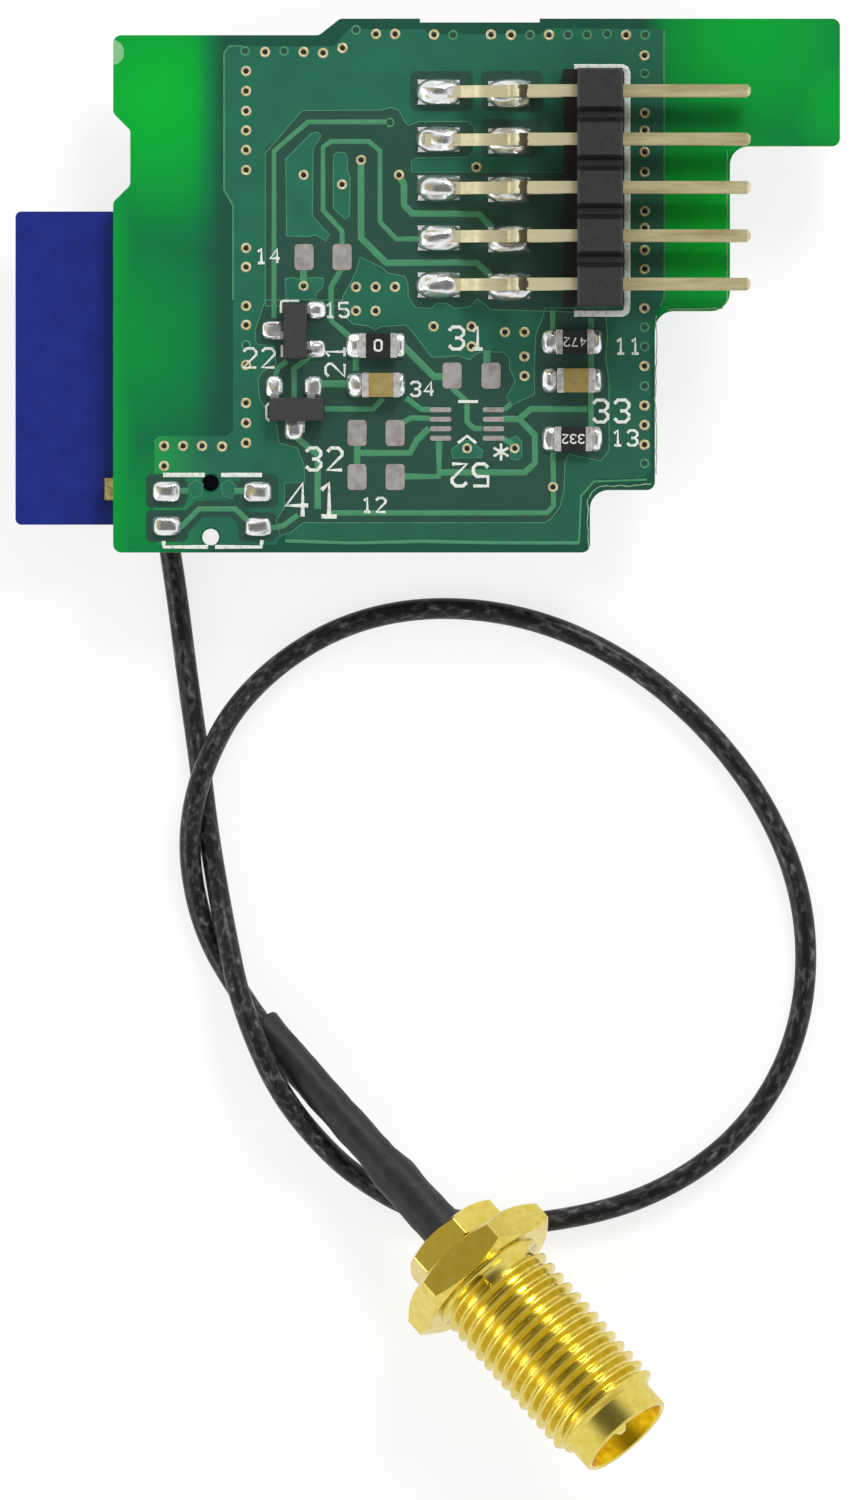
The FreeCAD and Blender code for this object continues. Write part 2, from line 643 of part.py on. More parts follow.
def header_block():
    """Moulded block with a foot ledge, break grooves and square pin holes."""
    body = new_body("header_body")
    place(body, "header_x", "header_y", BOARD_UP)
    outline = new_sketch(body, "block_outline", "XZ")
    draw_polygon(outline, [("-ledge_reach", 0), ("header_depth", 0),
                           ("header_depth", "header_high"), (0, "header_high"),
                           (0, "ledge_high"), ("-ledge_reach", "ledge_high")])
    solid = pad(body, outline, "header_length", symmetric=True)
    high = value("header_high")
    rim = edges_where(solid.Shape, lambda middle, span: abs(middle.z - high) < 0.001)
    round_edges(body, solid, rim, "header_edge", kind="Chamfer")
    first_groove = "(header_pitch * (2 - header_columns) / 2)"
    for name, top, floor in (("top_groove", "header_high", "header_high - groove_depth"),
                             ("foot_groove", "0", "groove_depth")):
        sketch = new_sketch(body, name, "YZ")
        draw_polygon(sketch, [(f"{first_groove} - groove_width / 2", top),
                              (f"{first_groove} - groove_floor / 2", floor),
                              (f"{first_groove} + groove_floor / 2", floor),
                              (f"{first_groove} + groove_width / 2", top)])
        cut = pocket(body, sketch, "header_depth * 4", symmetric=True)
        repeat(body, cut, sketch, "H_Axis", "header_pitch", "header_columns - 1")
    holes = new_sketch(body, "pin_holes", "YZ")
    first_pin = "(header_pitch * (1 - header_columns) / 2)"
    half = "(pin_side / 2 + pin_fit)"
    for level in ("lower_row", "(lower_row + header_pitch)"):
        draw_rectangle(holes, f"{first_pin} - {half}", f"{first_pin} + {half}",
                       f"{level} - {half}", f"{level} + {half}")
    cut = pocket(body, holes, "header_depth * 4", symmetric=True)
    repeat(body, cut, holes, "H_Axis", "header_pitch", "header_columns")


def pin_places():
    """Expressions of the Y of each pin pair."""
    count = int(value("header_columns"))
    return [f"header_y + header_pitch * ({i} - (header_columns - 1) / 2)" for i in range(count)]


TIP_X = "(header_x + header_depth + pin_reach)"
FOOT_LEVEL = "(film + pin_side / 2)"
HALF = "(pin_side / 2)"
MITRE = "(pin_side / 2 * 0.41421356)"    # shift of a mitre at a 45 degree bend


def finish_pin(body, solid, inner, outer):
    """Rounds the bends of a square pin and points its free end."""
    solid = round_edges(body, solid, corner_edges(solid.Shape, inner, "y"), "pin_bend")
    solid = round_edges(body, solid, corner_edges(solid.Shape, outer, "y"), "pin_bend + pin_side")
    tip = value(TIP_X)
    point = edges_where(solid.Shape, lambda middle, span: abs(middle.x - tip) < 0.001)
    round_edges(body, solid, point, "pin_point", kind="Chamfer")


def upper_pin(number, at_y):
    """Upper-row pin: out of the block, down a leg, over the lower pin's foot and down to its pad."""
    body = new_body(f"upper_pin_{number}")
    place(body, 0, at_y, BOARD_UP)
    high = "(lower_row + header_pitch)"
    low = "lower_row"
    ramp_end = f"(ramp_x - ({low} - {FOOT_LEVEL}))"
    b_up, b_down = ((f"leg_x - {HALF}", f"{high} + {HALF}"), (f"leg_x + {HALF}", f"{high} - {HALF}"))
    c_up, c_down = ((f"leg_x - {HALF}", f"{low} + {HALF}"), (f"leg_x + {HALF}", f"{low} - {HALF}"))
    d_up, d_down = ((f"ramp_x - {MITRE}", f"{low} + {HALF}"), (f"ramp_x + {MITRE}", f"{low} - {HALF}"))
    e_up = (f"{ramp_end} - {MITRE}", f"{FOOT_LEVEL} + {HALF}")
    e_down = (f"{ramp_end} + {MITRE}", f"{FOOT_LEVEL} - {HALF}")
    side = new_sketch(body, f"upper_side_{number}", "XZ")
    draw_polygon(side, [(TIP_X, f"{high} + {HALF}"), b_up, c_up, d_up, e_up,
                        ("upper_toe", f"{FOOT_LEVEL} + {HALF}"), ("upper_toe", f"{FOOT_LEVEL} - {HALF}"),
                        e_down, d_down, c_down, b_down, (TIP_X, f"{high} - {HALF}")])
    solid = pad(body, side, "pin_side", symmetric=True)
    finish_pin(body, solid, [b_down, c_up, d_down, e_up], [b_up, c_down, d_up, e_down])


def lower_pin(number, at_y):
    """Lower-row pin: out of the block and down a ramp to its foot."""
    body = new_body(f"lower_pin_{number}")
    place(body, 0, at_y, BOARD_UP)
    level = "lower_row"
    ramp_end = f"(lower_ramp_x - ({level} - {FOOT_LEVEL}))"
    a_up = (f"lower_ramp_x - {MITRE}", f"{level} + {HALF}")
    a_down = (f"lower_ramp_x + {MITRE}", f"{level} - {HALF}")
    b_up = (f"{ramp_end} - {MITRE}", f"{FOOT_LEVEL} + {HALF}")
    b_down = (f"{ramp_end} + {MITRE}", f"{FOOT_LEVEL} - {HALF}")
    side = new_sketch(body, f"lower_side_{number}", "XZ")
    draw_polygon(side, [(TIP_X, f"{level} + {HALF}"), a_up, b_up,
                        ("lower_toe", f"{FOOT_LEVEL} + {HALF}"), ("lower_toe", f"{FOOT_LEVEL} - {HALF}"),
                        b_down, a_down, (TIP_X, f"{level} - {HALF}")])
    solid = pad(body, side, "pin_side", symmetric=True)
    finish_pin(body, solid, [a_down, b_up], [a_up, b_down])


def prism(profile, length, normal):
    """Solid of a closed profile, pushed along a direction."""
    wire = Part.makePolygon(profile + profile[:1])
    return Part.Face(wire).extrude(normal * length)


def header_solder():
    """Solder on both pad columns: a saddle along each foot and a slope at its toe."""
    half = value("pin_side") / 2
    pad_half = value("pin_pad_width") / 2
    film = value("film")
    rise = value("pin_solder_rise")
    base = value(BOARD_UP)
    joints = []
    for at_y in pin_places():
        y = value(at_y)
        for toe in ("upper_toe", "lower_toe"):
            start = value(toe)
            end = start - value("pin_pad_toe") + value("pin_pad_length")
            saddle = prism([Vector(start, y - pad_half, base), Vector(start, y - pad_half, base + film),
                            Vector(start, y - half, base + rise), Vector(start, y - half, base + film),
                            Vector(start, y + half, base + film), Vector(start, y + half, base + rise),
                            Vector(start, y + pad_half, base + film), Vector(start, y + pad_half, base)],
                           end - start, Vector(1, 0, 0))
            toe_end = start - value("pin_pad_toe")
            slope = prism([Vector(start, y - pad_half, base), Vector(toe_end, y - pad_half, base),
                           Vector(toe_end, y - pad_half, base + film),
                           Vector(start, y - pad_half, base + rise)],
                          2 * pad_half, Vector(0, 1, 0))
            joints.append(saddle.fuse(slope).removeSplitter())
    new_feature("header_solder", Part.makeCompound(joints))


def chip_part(name, at_x, at_y, high):
    """Ceramic chip body and its two metal ends."""
    half_long = "(chip_long / 2)"
    half_wide = "(chip_wide / 2)"
    body = new_body(name + "_body")
    place(body, at_x, at_y, f"{BOARD_UP} + film + cap_proud")
    outline = new_sketch(body, name + "_outline", "XY")
    draw_rectangle(outline, f"-{half_long} + cap_end", f"{half_long} - cap_end",
                   f"-{half_wide}", half_wide)
    pad(body, outline, high)
    ends = new_body(name + "_ends")
    place(ends, at_x, at_y, f"{BOARD_UP} + film")
    outline = new_sketch(ends, name + "_end_outline", "XY")
    for near, far in ((f"-{half_long}", f"-{half_long} + cap_end"),
                      (f"{half_long} - cap_end", half_long)):
        draw_rectangle(outline, near, far, f"-{half_wide} - cap_proud", f"{half_wide} + cap_proud")
    solid = pad(ends, outline, f"{high} + 2 * cap_proud")
    half = value(half_long)
    rim = edges_where(solid.Shape, lambda middle, span: abs(abs(middle.x) - half) < 0.001)
    round_edges(ends, solid, rim, "cap_end / 5")


def solder_wedge(inner, outer, film, rise, width):
    """Solder under one end of a part, with its fillet beyond it: along +X from the end at 0."""
    profile = [Vector(-inner, -width / 2, 0), Vector(outer, -width / 2, 0),
               Vector(outer, -width / 2, film), Vector(0, -width / 2, rise),
               Vector(0, -width / 2, film), Vector(-inner, -width / 2, film)]
    return prism(profile, width, Vector(0, 1, 0))


def turned_copy(shape, centre, angle):
    """A copy of a shape, turned about Z and moved to its place."""
    copy = shape.copy()
    copy.Placement = FreeCAD.Placement(centre, FreeCAD.Rotation(angle, 0, 0))
    return copy


def chip_solder():
    """Solder fillets of the chip parts and the transistors' leads."""
    base = value(BOARD_UP)
    film = value("film")
    half = value("chip_long") / 2
    wedge = solder_wedge(value("cap_end"), value("chip_solder_out"), film,
                         value("chip_solder_rise"), value("chip_pad_wide"))
    joints = []
    for name, at_x, at_y, high in CHIPS:
        joints.append(turned_copy(wedge, Vector(at_x + half, at_y, base), 0))
        joints.append(turned_copy(wedge, Vector(at_x - half, at_y, base), 180))
    small = solder_wedge(value("lead_foot"), value("lead_solder"), film,
                         film + value("lead_thick"), value("lead_wide * 1.6"))
    for name, at_x, at_y, turn in TRANSISTORS:
        rotation = FreeCAD.Rotation(turn, 0, 0)
        for along, side in lead_places():
            toe = rotation.multVec(Vector(along, side * value("lead_span") / 2, 0))
            joints.append(turned_copy(small, Vector(at_x, at_y, base) + toe, turn + side * 90))
    new_feature("chip_solder", Part.makeCompound(joints))


def lead_places():
    """Place along the transistor and side (+1 or -1) of each lead."""
    half = value("lead_pitch") / 2
    return [(0.0, 1), (-half, -1), (half, -1)]


def transistor(name, at_x, at_y, turn):
    """Moulded body with draft on both halves, and three bent leads."""
    body = new_body(name + "_body")
    place(body, at_x, at_y, f"{BOARD_UP} + film + sot_gap + sot_high / 2")
    body.Placement.Rotation = FreeCAD.Rotation(turn, 0, 0)
    for half, down in (("upper", False), ("lower", True)):
        outline = new_sketch(body, f"{name}_{half}", "XY")
        draw_rectangle(outline, "-sot_long / 2", "sot_long / 2", "-sot_wide / 2", "sot_wide / 2")
        pad(body, outline, "sot_high / 2", down=down, taper="sot_draft")

    middle = value("film + sot_gap + sot_high / 2")
    thick = value("lead_thick")
    film = value("film")
    toe = value("lead_span") / 2
    heel = toe - value("lead_foot")
    start = value("sot_wide") / 2
    knee = 0.5 * (start + heel)
    profile = [Vector(start, 0, middle + thick / 2), Vector(knee + thick / 2, 0, middle + thick / 2),
               Vector(heel + thick / 2, 0, film + thick), Vector(toe, 0, film + thick),
               Vector(toe, 0, film), Vector(heel - thick / 2, 0, film),
               Vector(knee - thick / 2, 0, middle - thick / 2), Vector(start, 0, middle - thick / 2)]
    lead = prism(profile, value("lead_wide"), Vector(0, 1, 0))
    lead.translate(Vector(0, -value("lead_wide") / 2, 0))
    leads = [turned_copy(lead, Vector(along, 0, 0), side * 90) for along, side in lead_places()]
    part = new_feature(name + "_leads", Part.makeCompound(leads))
    part.Placement = FreeCAD.Placement(Vector(at_x, at_y, value(BOARD_UP)),
                                       FreeCAD.Rotation(turn, 0, 0))


def tinned_pad(x, y, wide, long, corner):
    """One bare pad, its corners rounded."""
    film = value("film")
    plate = Part.makeBox(wide, long, film, Vector(x - wide / 2, y - long / 2, value(BOARD_UP)))
    upright = [edge for edge in plate.Edges
               if abs(edge.Vertexes[0].Z - edge.Vertexes[1].Z) > film / 2]
    return plate.makeFillet(corner, upright)


def bare_pads():
    """Tinned pads of the positions that hold no part."""
    pads = [tinned_pad(x, y, value("bare_pad_wide"), value("bare_pad_long"),
                       value("bare_pad_corner")) for x, y in BARE_PADS]
    for side in (-1, 1):
        x = FINE_CHIP[0] + side * value("fine_row") / 2
        for i in range(4):
            y = FINE_CHIP[1] + (i - 1.5) * value("fine_pitch")
            pads.append(tinned_pad(x, y, value("fine_pad_long"), value("fine_pad_wide"),
                                   value("fine_pad_corner")))
    new_feature("bare_pads", Part.makeCompound(pads))


def button_solder():
    """Solder domes on the four pads of the push-button position."""
    long = value("button_pad_long") / 2
    wide = value("button_pad_wide") / 2
    high = value("button_dome")
    inset = high
    domes = []
    for column in (0, 1):
        for line in (0, 1):
            x = value("button_pad_x") + column * value("button_pad_dx")
            y = value("board_top - board_height + button_pad_edge") + line * value("button_pad_dy")
            dome = Part.makeWedge(-long, 0, -wide, -wide + inset, -long + inset,
                                  long, high, wide, wide - inset, long - inset)
            dome.rotate(Vector(0, 0, 0), Vector(1, 0, 0), 90)
            dome.translate(Vector(x, y, value(BOARD_UP)))
            domes.append(dome)
    new_feature("button_solder", Part.makeCompound(domes))


def cable_path():
    """Straight runs of the route joined by tangent arcs, and the arcs' radii."""
    points = [Vector(*point) for point in CABLE_ROUTE]
    edges = []
    radii = []
    here = points[0]
    for before, corner, after in zip(points, points[1:], points[2:]):
        back = before - corner
        ahead = after - corner
        reach = ARC_SHARE * min(back.Length, ahead.Length)
        back.normalize()
        ahead.normalize()
        half_turn = (math.pi - back.getAngle(ahead)) / 2
        radius = reach / math.tan(half_turn)
        start = corner + back * reach
        end = corner + ahead * reach
        inward = (back + ahead).normalize()
        middle = corner + inward * (radius / math.cos(half_turn) - radius)
        edges.append(Part.LineSegment(here, start).toShape())
        edges.append(Part.Arc(start, middle, end).toShape())
        radii.append(radius)
        here = end
    edges.append(Part.LineSegment(here, points[-1]).toShape())
    return Part.Wire(edges), radii


def coax_cable():
    """The aerial cable as one tube along its route."""
    path, radii = cable_path()
    radius = value("cable_diameter") / 2
    start = path.OrderedVertexes[0].Point
    section = Part.Wire(Part.makeCircle(radius, start, plug_direction()))
    tube = path.makePipeShell([section], True, True)
    expected = math.pi * radius * radius * path.Length
    print("cable length %.1f mm, volume %.4f of section times length" % (
        path.Length, tube.Volume / expected))
    print("cable arc radii:", " ".join("%.1f" % r for r in radii))
    new_feature("coax_cable", tube)


def tail_placement():
    """Local frame of everything on the cable's far end: X along its last run."""
    end = Vector(*CABLE_ROUTE[-1])
    bend = Vector(*CABLE_ROUTE[-3])
    along = (end - bend).normalize()
    heading = math.degrees(math.atan2(along.y, along.x))
    tilt = math.degrees(math.asin(along.z))
    start = bend - along * value("sleeve_lead")
    return FreeCAD.Placement(start, FreeCAD.Rotation(heading, -tilt, 0))


def shrink_sleeve():
    """Heat-shrink sleeve over the cable and the crimp ferrule."""
    body = new_body("heat_shrink_sleeve")
    body.Placement = tail_placement()
    inner = "(cable_diameter / 2 + sleeve_fit)"
    over = "(cable_diameter / 2 + cable_fit + ferrule_wall + ferrule_fit)"
    profile = new_sketch(body, "sleeve_profile", "XZ")
    draw_polygon(profile, [(0, inner), (f"{TAIL_START} - sleeve_blend", inner),
                           (f"{TAIL_START} - sleeve_blend / 2", over), ("sleeve_length", over),
                           ("sleeve_length", f"{over} + sleeve_wall"),
                           (f"{TAIL_START}", f"{over} + sleeve_wall"),
                           (f"{TAIL_START} - sleeve_blend", f"{inner} + sleeve_wall"),
                           (0, f"{inner} + sleeve_wall")])
    turn_about_axis(body, profile)


def crimp_ferrule():
    """Metal tube crimped over the braid, under the sleeve."""
    body = new_body("crimp_ferrule")
    body.Placement = tail_placement()
    bore = "(cable_diameter / 2 + cable_fit)"
    profile = new_sketch(body, "ferrule_profile", "XZ")
    draw_rectangle(profile, TAIL_START, "sleeve_length", bore, f"{bore} + ferrule_wall")
    turn_about_axis(body, profile)


def hexagon(sketch, flats, turn):
    """Regular hexagon across flats, turned about the middle."""
    corners = []
    for i in range(6):
        angle = f"({60 * i} deg + {turn} * 1 deg)"
        corners.append((f"{flats} / sqrt(3) * cos({angle})", f"{flats} / sqrt(3) * sin({angle})"))
    draw_polygon(sketch, corners)


def jack_body():
    """Turned brass jack: rear hexagon, flange hexagon, relief, threaded barrel and mouth."""
    body = new_body("connector_body")
    body.Placement = tail_placement()
    rear = new_sketch(body, "rear_hexagon", "YZ", "sleeve_length")
    hexagon(rear, "tail_hex", "tail_hex_turn")
    pad(body, rear, "tail_hex_long + tail_neck")
    flange = new_sketch(body, "flange_hexagon", "YZ", FLANGE_START)
    hexagon(flange, "flange_hex", "flange_turn")
    pad(body, flange, "flange_long")

    barrel = new_sketch(body, "barrel_profile", "XZ")
    draw_polygon(barrel, [(FLANGE_START, 0), (MOUTH, 0), (MOUTH, "mouth_radius"),
                          (THREAD_END, "mouth_radius"), (THREAD_END, "thread_radius - thread_bevel"),
                          (f"{THREAD_END} - thread_bevel", "thread_radius"),
                          (RELIEF_END, "thread_radius"), (RELIEF_END, "relief_radius"),
                          (FLANGE_START, "relief_radius")])
    turn_about_axis(body, barrel)

    corner = "flange_hex / sqrt(3)"
    tail_corner = "tail_hex / sqrt(3)"
    bevels = new_sketch(body, "hexagon_bevels", "XZ")
    for edge, inward, tip in ((FLANGE_START, "+", corner), (FLANGE_END, "-", corner),
                              ("sleeve_length", "+", tail_corner)):
        outward = "-" if inward == "+" else "+"
        draw_polygon(bevels, [(f"{edge} {outward} hex_bevel / 10", f"{tip} - 2 * hex_bevel"),
                              (f"{edge} {inward} hex_bevel", f"{tip} + hex_bevel / 10"),
                              (f"{edge} {outward} hex_bevel / 10", f"{tip} + hex_bevel / 10")])
    turn_about_axis(body, bevels, cut=True)

    bore = new_sketch(body, "jack_bores", "XZ")
    draw_polygon(bore, [(f"{MOUTH} - jack_depth", 0), (f"{MOUTH} + 1", 0),
                        (f"{MOUTH} + 1", "mouth_bore"), (f"{MOUTH} - mouth_depth", "mouth_bore"),
                        (f"{MOUTH} - mouth_depth", "jack_bore"),
                        (f"{MOUTH} - jack_depth", "jack_bore")])
    turn_about_axis(body, bore, cut=True)


def jack_insides():
    """Dielectric and centre pin of the jack."""
    body = new_body("connector_insulator")
    body.Placement = tail_placement()
    profile = new_sketch(body, "dielectric_profile", "XZ")
    draw_rectangle(profile, f"{MOUTH} - jack_depth", f"{MOUTH} - mouth_depth",
                   "jack_pin + jack_pin_fit", "jack_bore - dielectric_fit")
    turn_about_axis(body, profile)
    body = new_body("connector_pin")
    body.Placement = tail_placement()
    profile = new_sketch(body, "jack_pin_profile", "XZ")
    draw_polygon(profile, [(f"{MOUTH} - jack_depth", 0), (f"{MOUTH} - jack_pin_tip", 0),
                           (f"{MOUTH} - jack_pin_tip", "jack_pin - jack_pin_point"),
                           (f"{MOUTH} - jack_pin_tip - jack_pin_point", "jack_pin"),
                           (f"{MOUTH} - jack_depth", "jack_pin")])
    turn_about_axis(body, profile)


main_board()
radio_board()
radio_board_solder()
shield_can()
flat_chip("radio_chip", f"{CAN_LEFT} + chip_gap + chip_side / 2",
          f"{CAN_NEAR} + chip_gap + chip_side / 2", "chip_side", "chip_side", "chip_high",
          "chip_high / 10")
flat_chip("amplifier_chip", f"{CAN_LEFT} + amp_gap + amp_side / 2",
          f"{CAN_FAR} - amp_gap - amp_side / 2", "amp_side", "amp_side", "amp_high",
          "amp_high / 10")
flat_chip("crystal", f"{CAN_RIGHT} - crystal_gap - crystal_length / 2",
          f"{CAN_FAR} - crystal_gap - crystal_width / 2", "crystal_length", "crystal_width",
          "crystal_high", "crystal_high / 8")
aerial_receptacle()
aerial_plug()
header_block()
for index, place_y in enumerate(pin_places(), start=1):
    upper_pin(index, place_y)
    lower_pin(index, place_y)
header_solder()
for chip in CHIPS:
    chip_part(*chip)
for device in TRANSISTORS:
    transistor(*device)
chip_solder()
bare_pads()
button_solder()
coax_cable()
shrink_sleeve()
crimp_ferrule()
jack_body()
jack_insides()
doc.recompute()

faults = [f"{item.Name}: {item.State}" for item in doc.Objects
          if "Invalid" in item.State or "Error" in item.State]
for part in SUBPARTS:
    if part.Shape.isNull() or not part.Shape.isValid():
        faults.append(f"{part.Label}: shape is null or not valid")
if faults:
    raise RuntimeError("; ".join(faults))

os.makedirs("parts", exist_ok=True)
for part in SUBPARTS:
    part.Shape.exportStep(os.path.join("parts", part.Label + ".step"))
print(len(SUBPARTS), "sub-parts written")
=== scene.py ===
import math

import bmesh
import bpy
from mathutils import Matrix, Vector, noise


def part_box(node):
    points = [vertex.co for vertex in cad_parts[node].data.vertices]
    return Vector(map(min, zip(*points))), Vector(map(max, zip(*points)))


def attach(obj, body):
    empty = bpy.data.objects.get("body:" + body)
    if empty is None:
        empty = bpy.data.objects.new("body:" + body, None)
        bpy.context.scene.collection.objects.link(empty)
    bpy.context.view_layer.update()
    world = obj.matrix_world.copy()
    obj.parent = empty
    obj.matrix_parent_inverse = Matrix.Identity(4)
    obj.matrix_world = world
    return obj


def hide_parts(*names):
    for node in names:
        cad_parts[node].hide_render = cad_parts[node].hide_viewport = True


# Looks of a radio expansion module, laid out as an add-on. Everything is in metres, in the frame
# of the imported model: +X towards the header's free pins, +Y away from the cable, +Z up.

bl_info = {
    "name": "Radio expansion module",
    "version": (1, 0, 0),
    "blender": (4, 5, 0),
    "location": "View3D > Sidebar > Radio module",
    "description": "Adds the board artwork, solder, cable, sleeve and jack of the module",
    "category": "Add Mesh",
}

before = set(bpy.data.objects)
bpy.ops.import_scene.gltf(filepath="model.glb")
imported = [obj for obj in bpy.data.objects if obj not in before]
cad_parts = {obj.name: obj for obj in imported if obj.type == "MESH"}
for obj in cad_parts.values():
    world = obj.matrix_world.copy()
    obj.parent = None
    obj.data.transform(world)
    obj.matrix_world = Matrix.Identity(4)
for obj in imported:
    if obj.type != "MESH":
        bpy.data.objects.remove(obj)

MM = 0.001
BOARD_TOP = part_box("main_board")[1].z
BOARD_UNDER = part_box("main_board")[0].z

# The board artwork is drawn on a grid of 19 steps to the millimetre, whose Y runs down the board.
GRID = MM / 19
GRID_X, GRID_Y = 427.5, 285.5

# Route of the aerial cable, the corners of the CAD tube's runs.
CABLE_ROUTE = [
    (-0.01389, -0.01171, 0.00110), (-0.01366, -0.01345, 0.00110), (-0.01321, -0.01634, 0.00058),
    (-0.01268, -0.02055, 0.00057), (-0.01205, -0.02487, 0.00057), (-0.01158, -0.02876, 0.00057),
    (-0.01103, -0.03203, 0.00085), (-0.01053, -0.03461, 0.00175), (-0.01003, -0.03703, 0.00235),
    (-0.00911, -0.03971, 0.00275), (-0.00782, -0.04245, 0.00285), (-0.00608, -0.04476, 0.00190),
    (-0.00387, -0.04692, 0.00080), (-0.00050, -0.04887, 0.00057), (0.00350, -0.04961, 0.00057),
    (0.00776, -0.04916, 0.00057), (0.01171, -0.04803, 0.00057), (0.01534, -0.04584, 0.00057),
    (0.01808, -0.04274, 0.00057), (0.01966, -0.03903, 0.00057), (0.02008, -0.03497, 0.00057),
    (0.01947, -0.03108, 0.00057), (0.01787, -0.02745, 0.00057), (0.01571, -0.02439, 0.00057),
    (0.01303, -0.02166, 0.00057), (0.00997, -0.01945, 0.00057), (0.00645, -0.01779, 0.00057),
    (0.00266, -0.01697, 0.00057), (-0.00118, -0.01700, 0.00057), (-0.00471, -0.01795, 0.00057),
    (-0.00782, -0.01982, 0.00060), (-0.01018, -0.02218, 0.00115), (-0.01150, -0.02461, 0.00195),
    (-0.01234, -0.02708, 0.00190), (-0.01261, -0.02971, 0.00110), (-0.01221, -0.03250, 0.00057),
    (-0.01139, -0.03482, 0.00057), (-0.01013, -0.03692, 0.00075), (-0.00866, -0.03908, 0.00103),
    (-0.00550, -0.04262, 0.00226), (-0.00190, -0.04666, 0.00368),
]

# Copper under the mask, as polylines of the artwork grid with a line width in millimetres.
TRACES = [
    (0.28, [(274, 318), (274, 151), (308, 122), (387, 122)]),
    (0.28, [(342, 245), (342, 231), (323, 210), (323, 147), (331, 141.6), (369, 141.6), (380, 151),
            (380, 222), (396, 239), (417, 239)]),
    (0.38, [(361, 160), (361, 238), (386, 263), (477, 262.5), (495, 280)]),
    (0.38, [(399, 175), (404, 184), (404, 205), (412, 213.5), (479, 214), (492, 228)]),
    (0.40, [(303.5, 270), (303.5, 286)]),
    (0.32, [(342, 268), (331, 287), (331, 321), (350, 337)]),
    (0.40, [(402, 345), (434, 377), (450, 376)]),
    (0.32, [(314, 352), (294, 369), (294, 398)]),
    (0.30, [(323, 409), (373, 409), (383, 398)]),
    (0.40, [(320, 384), (346, 384)]),
    (0.30, [(287, 361), (278, 368), (275, 378)]),
    (0.36, [(356, 357), (356, 371)]),
    (0.40, [(487, 350), (487, 362)]),
    (0.30, [(502, 438), (512, 444)]),
    (0.36, [(295, 436), (317.6, 455), (317.6, 509)]),
    (0.30, [(329, 513), (547, 513), (553.5, 506), (553, 452)]),
    (0.30, [(406, 398), (421, 409.5), (430, 409.6)]),
    (0.30, [(402, 423), (411, 418), (430, 418.5)]),
    (0.36, [(360, 453), (410, 453), (417, 440), (429, 428)]),
    (0.36, [(357, 446), (357, 465)]),
    (0.36, [(404, 476.5), (439, 476.5), (439, 441)]),
    (0.36, [(439, 472.5), (525, 472.5), (535, 463), (535, 435), (519, 419), (502, 419)]),
    (0.36, [(519, 419), (531, 409), (587, 409)]),
    (0.30, [(467, 404), (467, 422), (474, 428.6), (482, 428.6)]),
    (0.30, [(452, 388), (467, 402)]),
    (0.30, [(504, 409.6), (511, 404)]),
    (0.30, [(591, 318), (591, 334)]),
    (0.30, [(591, 352), (591, 372)]),
    (0.30, [(591, 392), (591, 430)]),
    (0.30, [(553, 310), (553, 332)]),
    (0.30, [(180, 528), (199, 509), (235, 509), (247, 520)]),
    (0.30, [(272, 528), (283, 526), (298, 515)]),
    (0.34, [(180, 491), (188, 491)]),
    (0.34, [(234, 491), (244, 491)]),
]
# Openings in the copper pour round single pads, as boxes: left, top, right, bottom.
PAD_CLEARINGS = [
    (410, 71, 473, 111), (481, 71, 543, 111), (481, 119, 543, 157), (146, 474, 186, 508),
    (240, 474, 278, 508), (146, 510, 188, 542), (238, 512, 276, 542),
]
# The wide openings round the header's traces and round the chips, as outlines.
WIDE_CLEARINGS = [
    [(265.3, 306), (265.3, 153), (302, 110.5), (381, 110), (391, 107.5), (399, 110), (405, 122.5),
     (409, 125.5), (419, 121.5), (468, 121.5), (474, 127.5), (474, 151), (468, 157), (417, 158),
     (411.5, 160.5), (411.5, 172), (575, 172), (575, 312), (541, 311), (491, 309.5), (484.7, 304),
     (477, 299), (470, 306.5), (454, 308.5), (447, 303.5), (437, 303), (431.6, 308.5),
     (415, 307.5), (408, 296), (408, 284), (405, 276.4), (388.8, 273.4), (380.6, 267),
     (360.2, 257), (356, 271), (350, 284), (343, 296), (341, 306)],
    [(265.3, 300), (341, 300), (341, 306), (347, 318), (353, 324), (368, 326), (375, 330),
     (381, 326.7), (406, 325), (412.5, 332), (431.6, 357), (441.6, 357), (458, 355.6),
     (469.8, 359.7), (476, 354), (480, 352), (503, 352), (509.6, 358), (509.6, 368),
     (515.4, 381.3), (506.2, 397.8), (512.9, 404.5), (534.4, 394.5), (534.4, 366), (536, 333),
     (542.7, 318), (545, 308), (605, 308), (607.4, 333), (605.7, 360), (609, 380), (609, 450),
     (600.8, 461), (569, 454), (565, 462.5), (564, 490), (560, 507), (551, 519), (545, 522.8),
     (303, 522.8), (292, 532), (280, 536), (276, 520), (284, 508), (284.4, 483), (304.7, 482.5),
     (304, 465), (297, 448), (279, 443), (276.6, 424), (268, 413), (259.4, 398), (258, 380),
     (262, 372), (276, 364), (274, 347), (256, 344), (255, 330), (258, 321)],
]
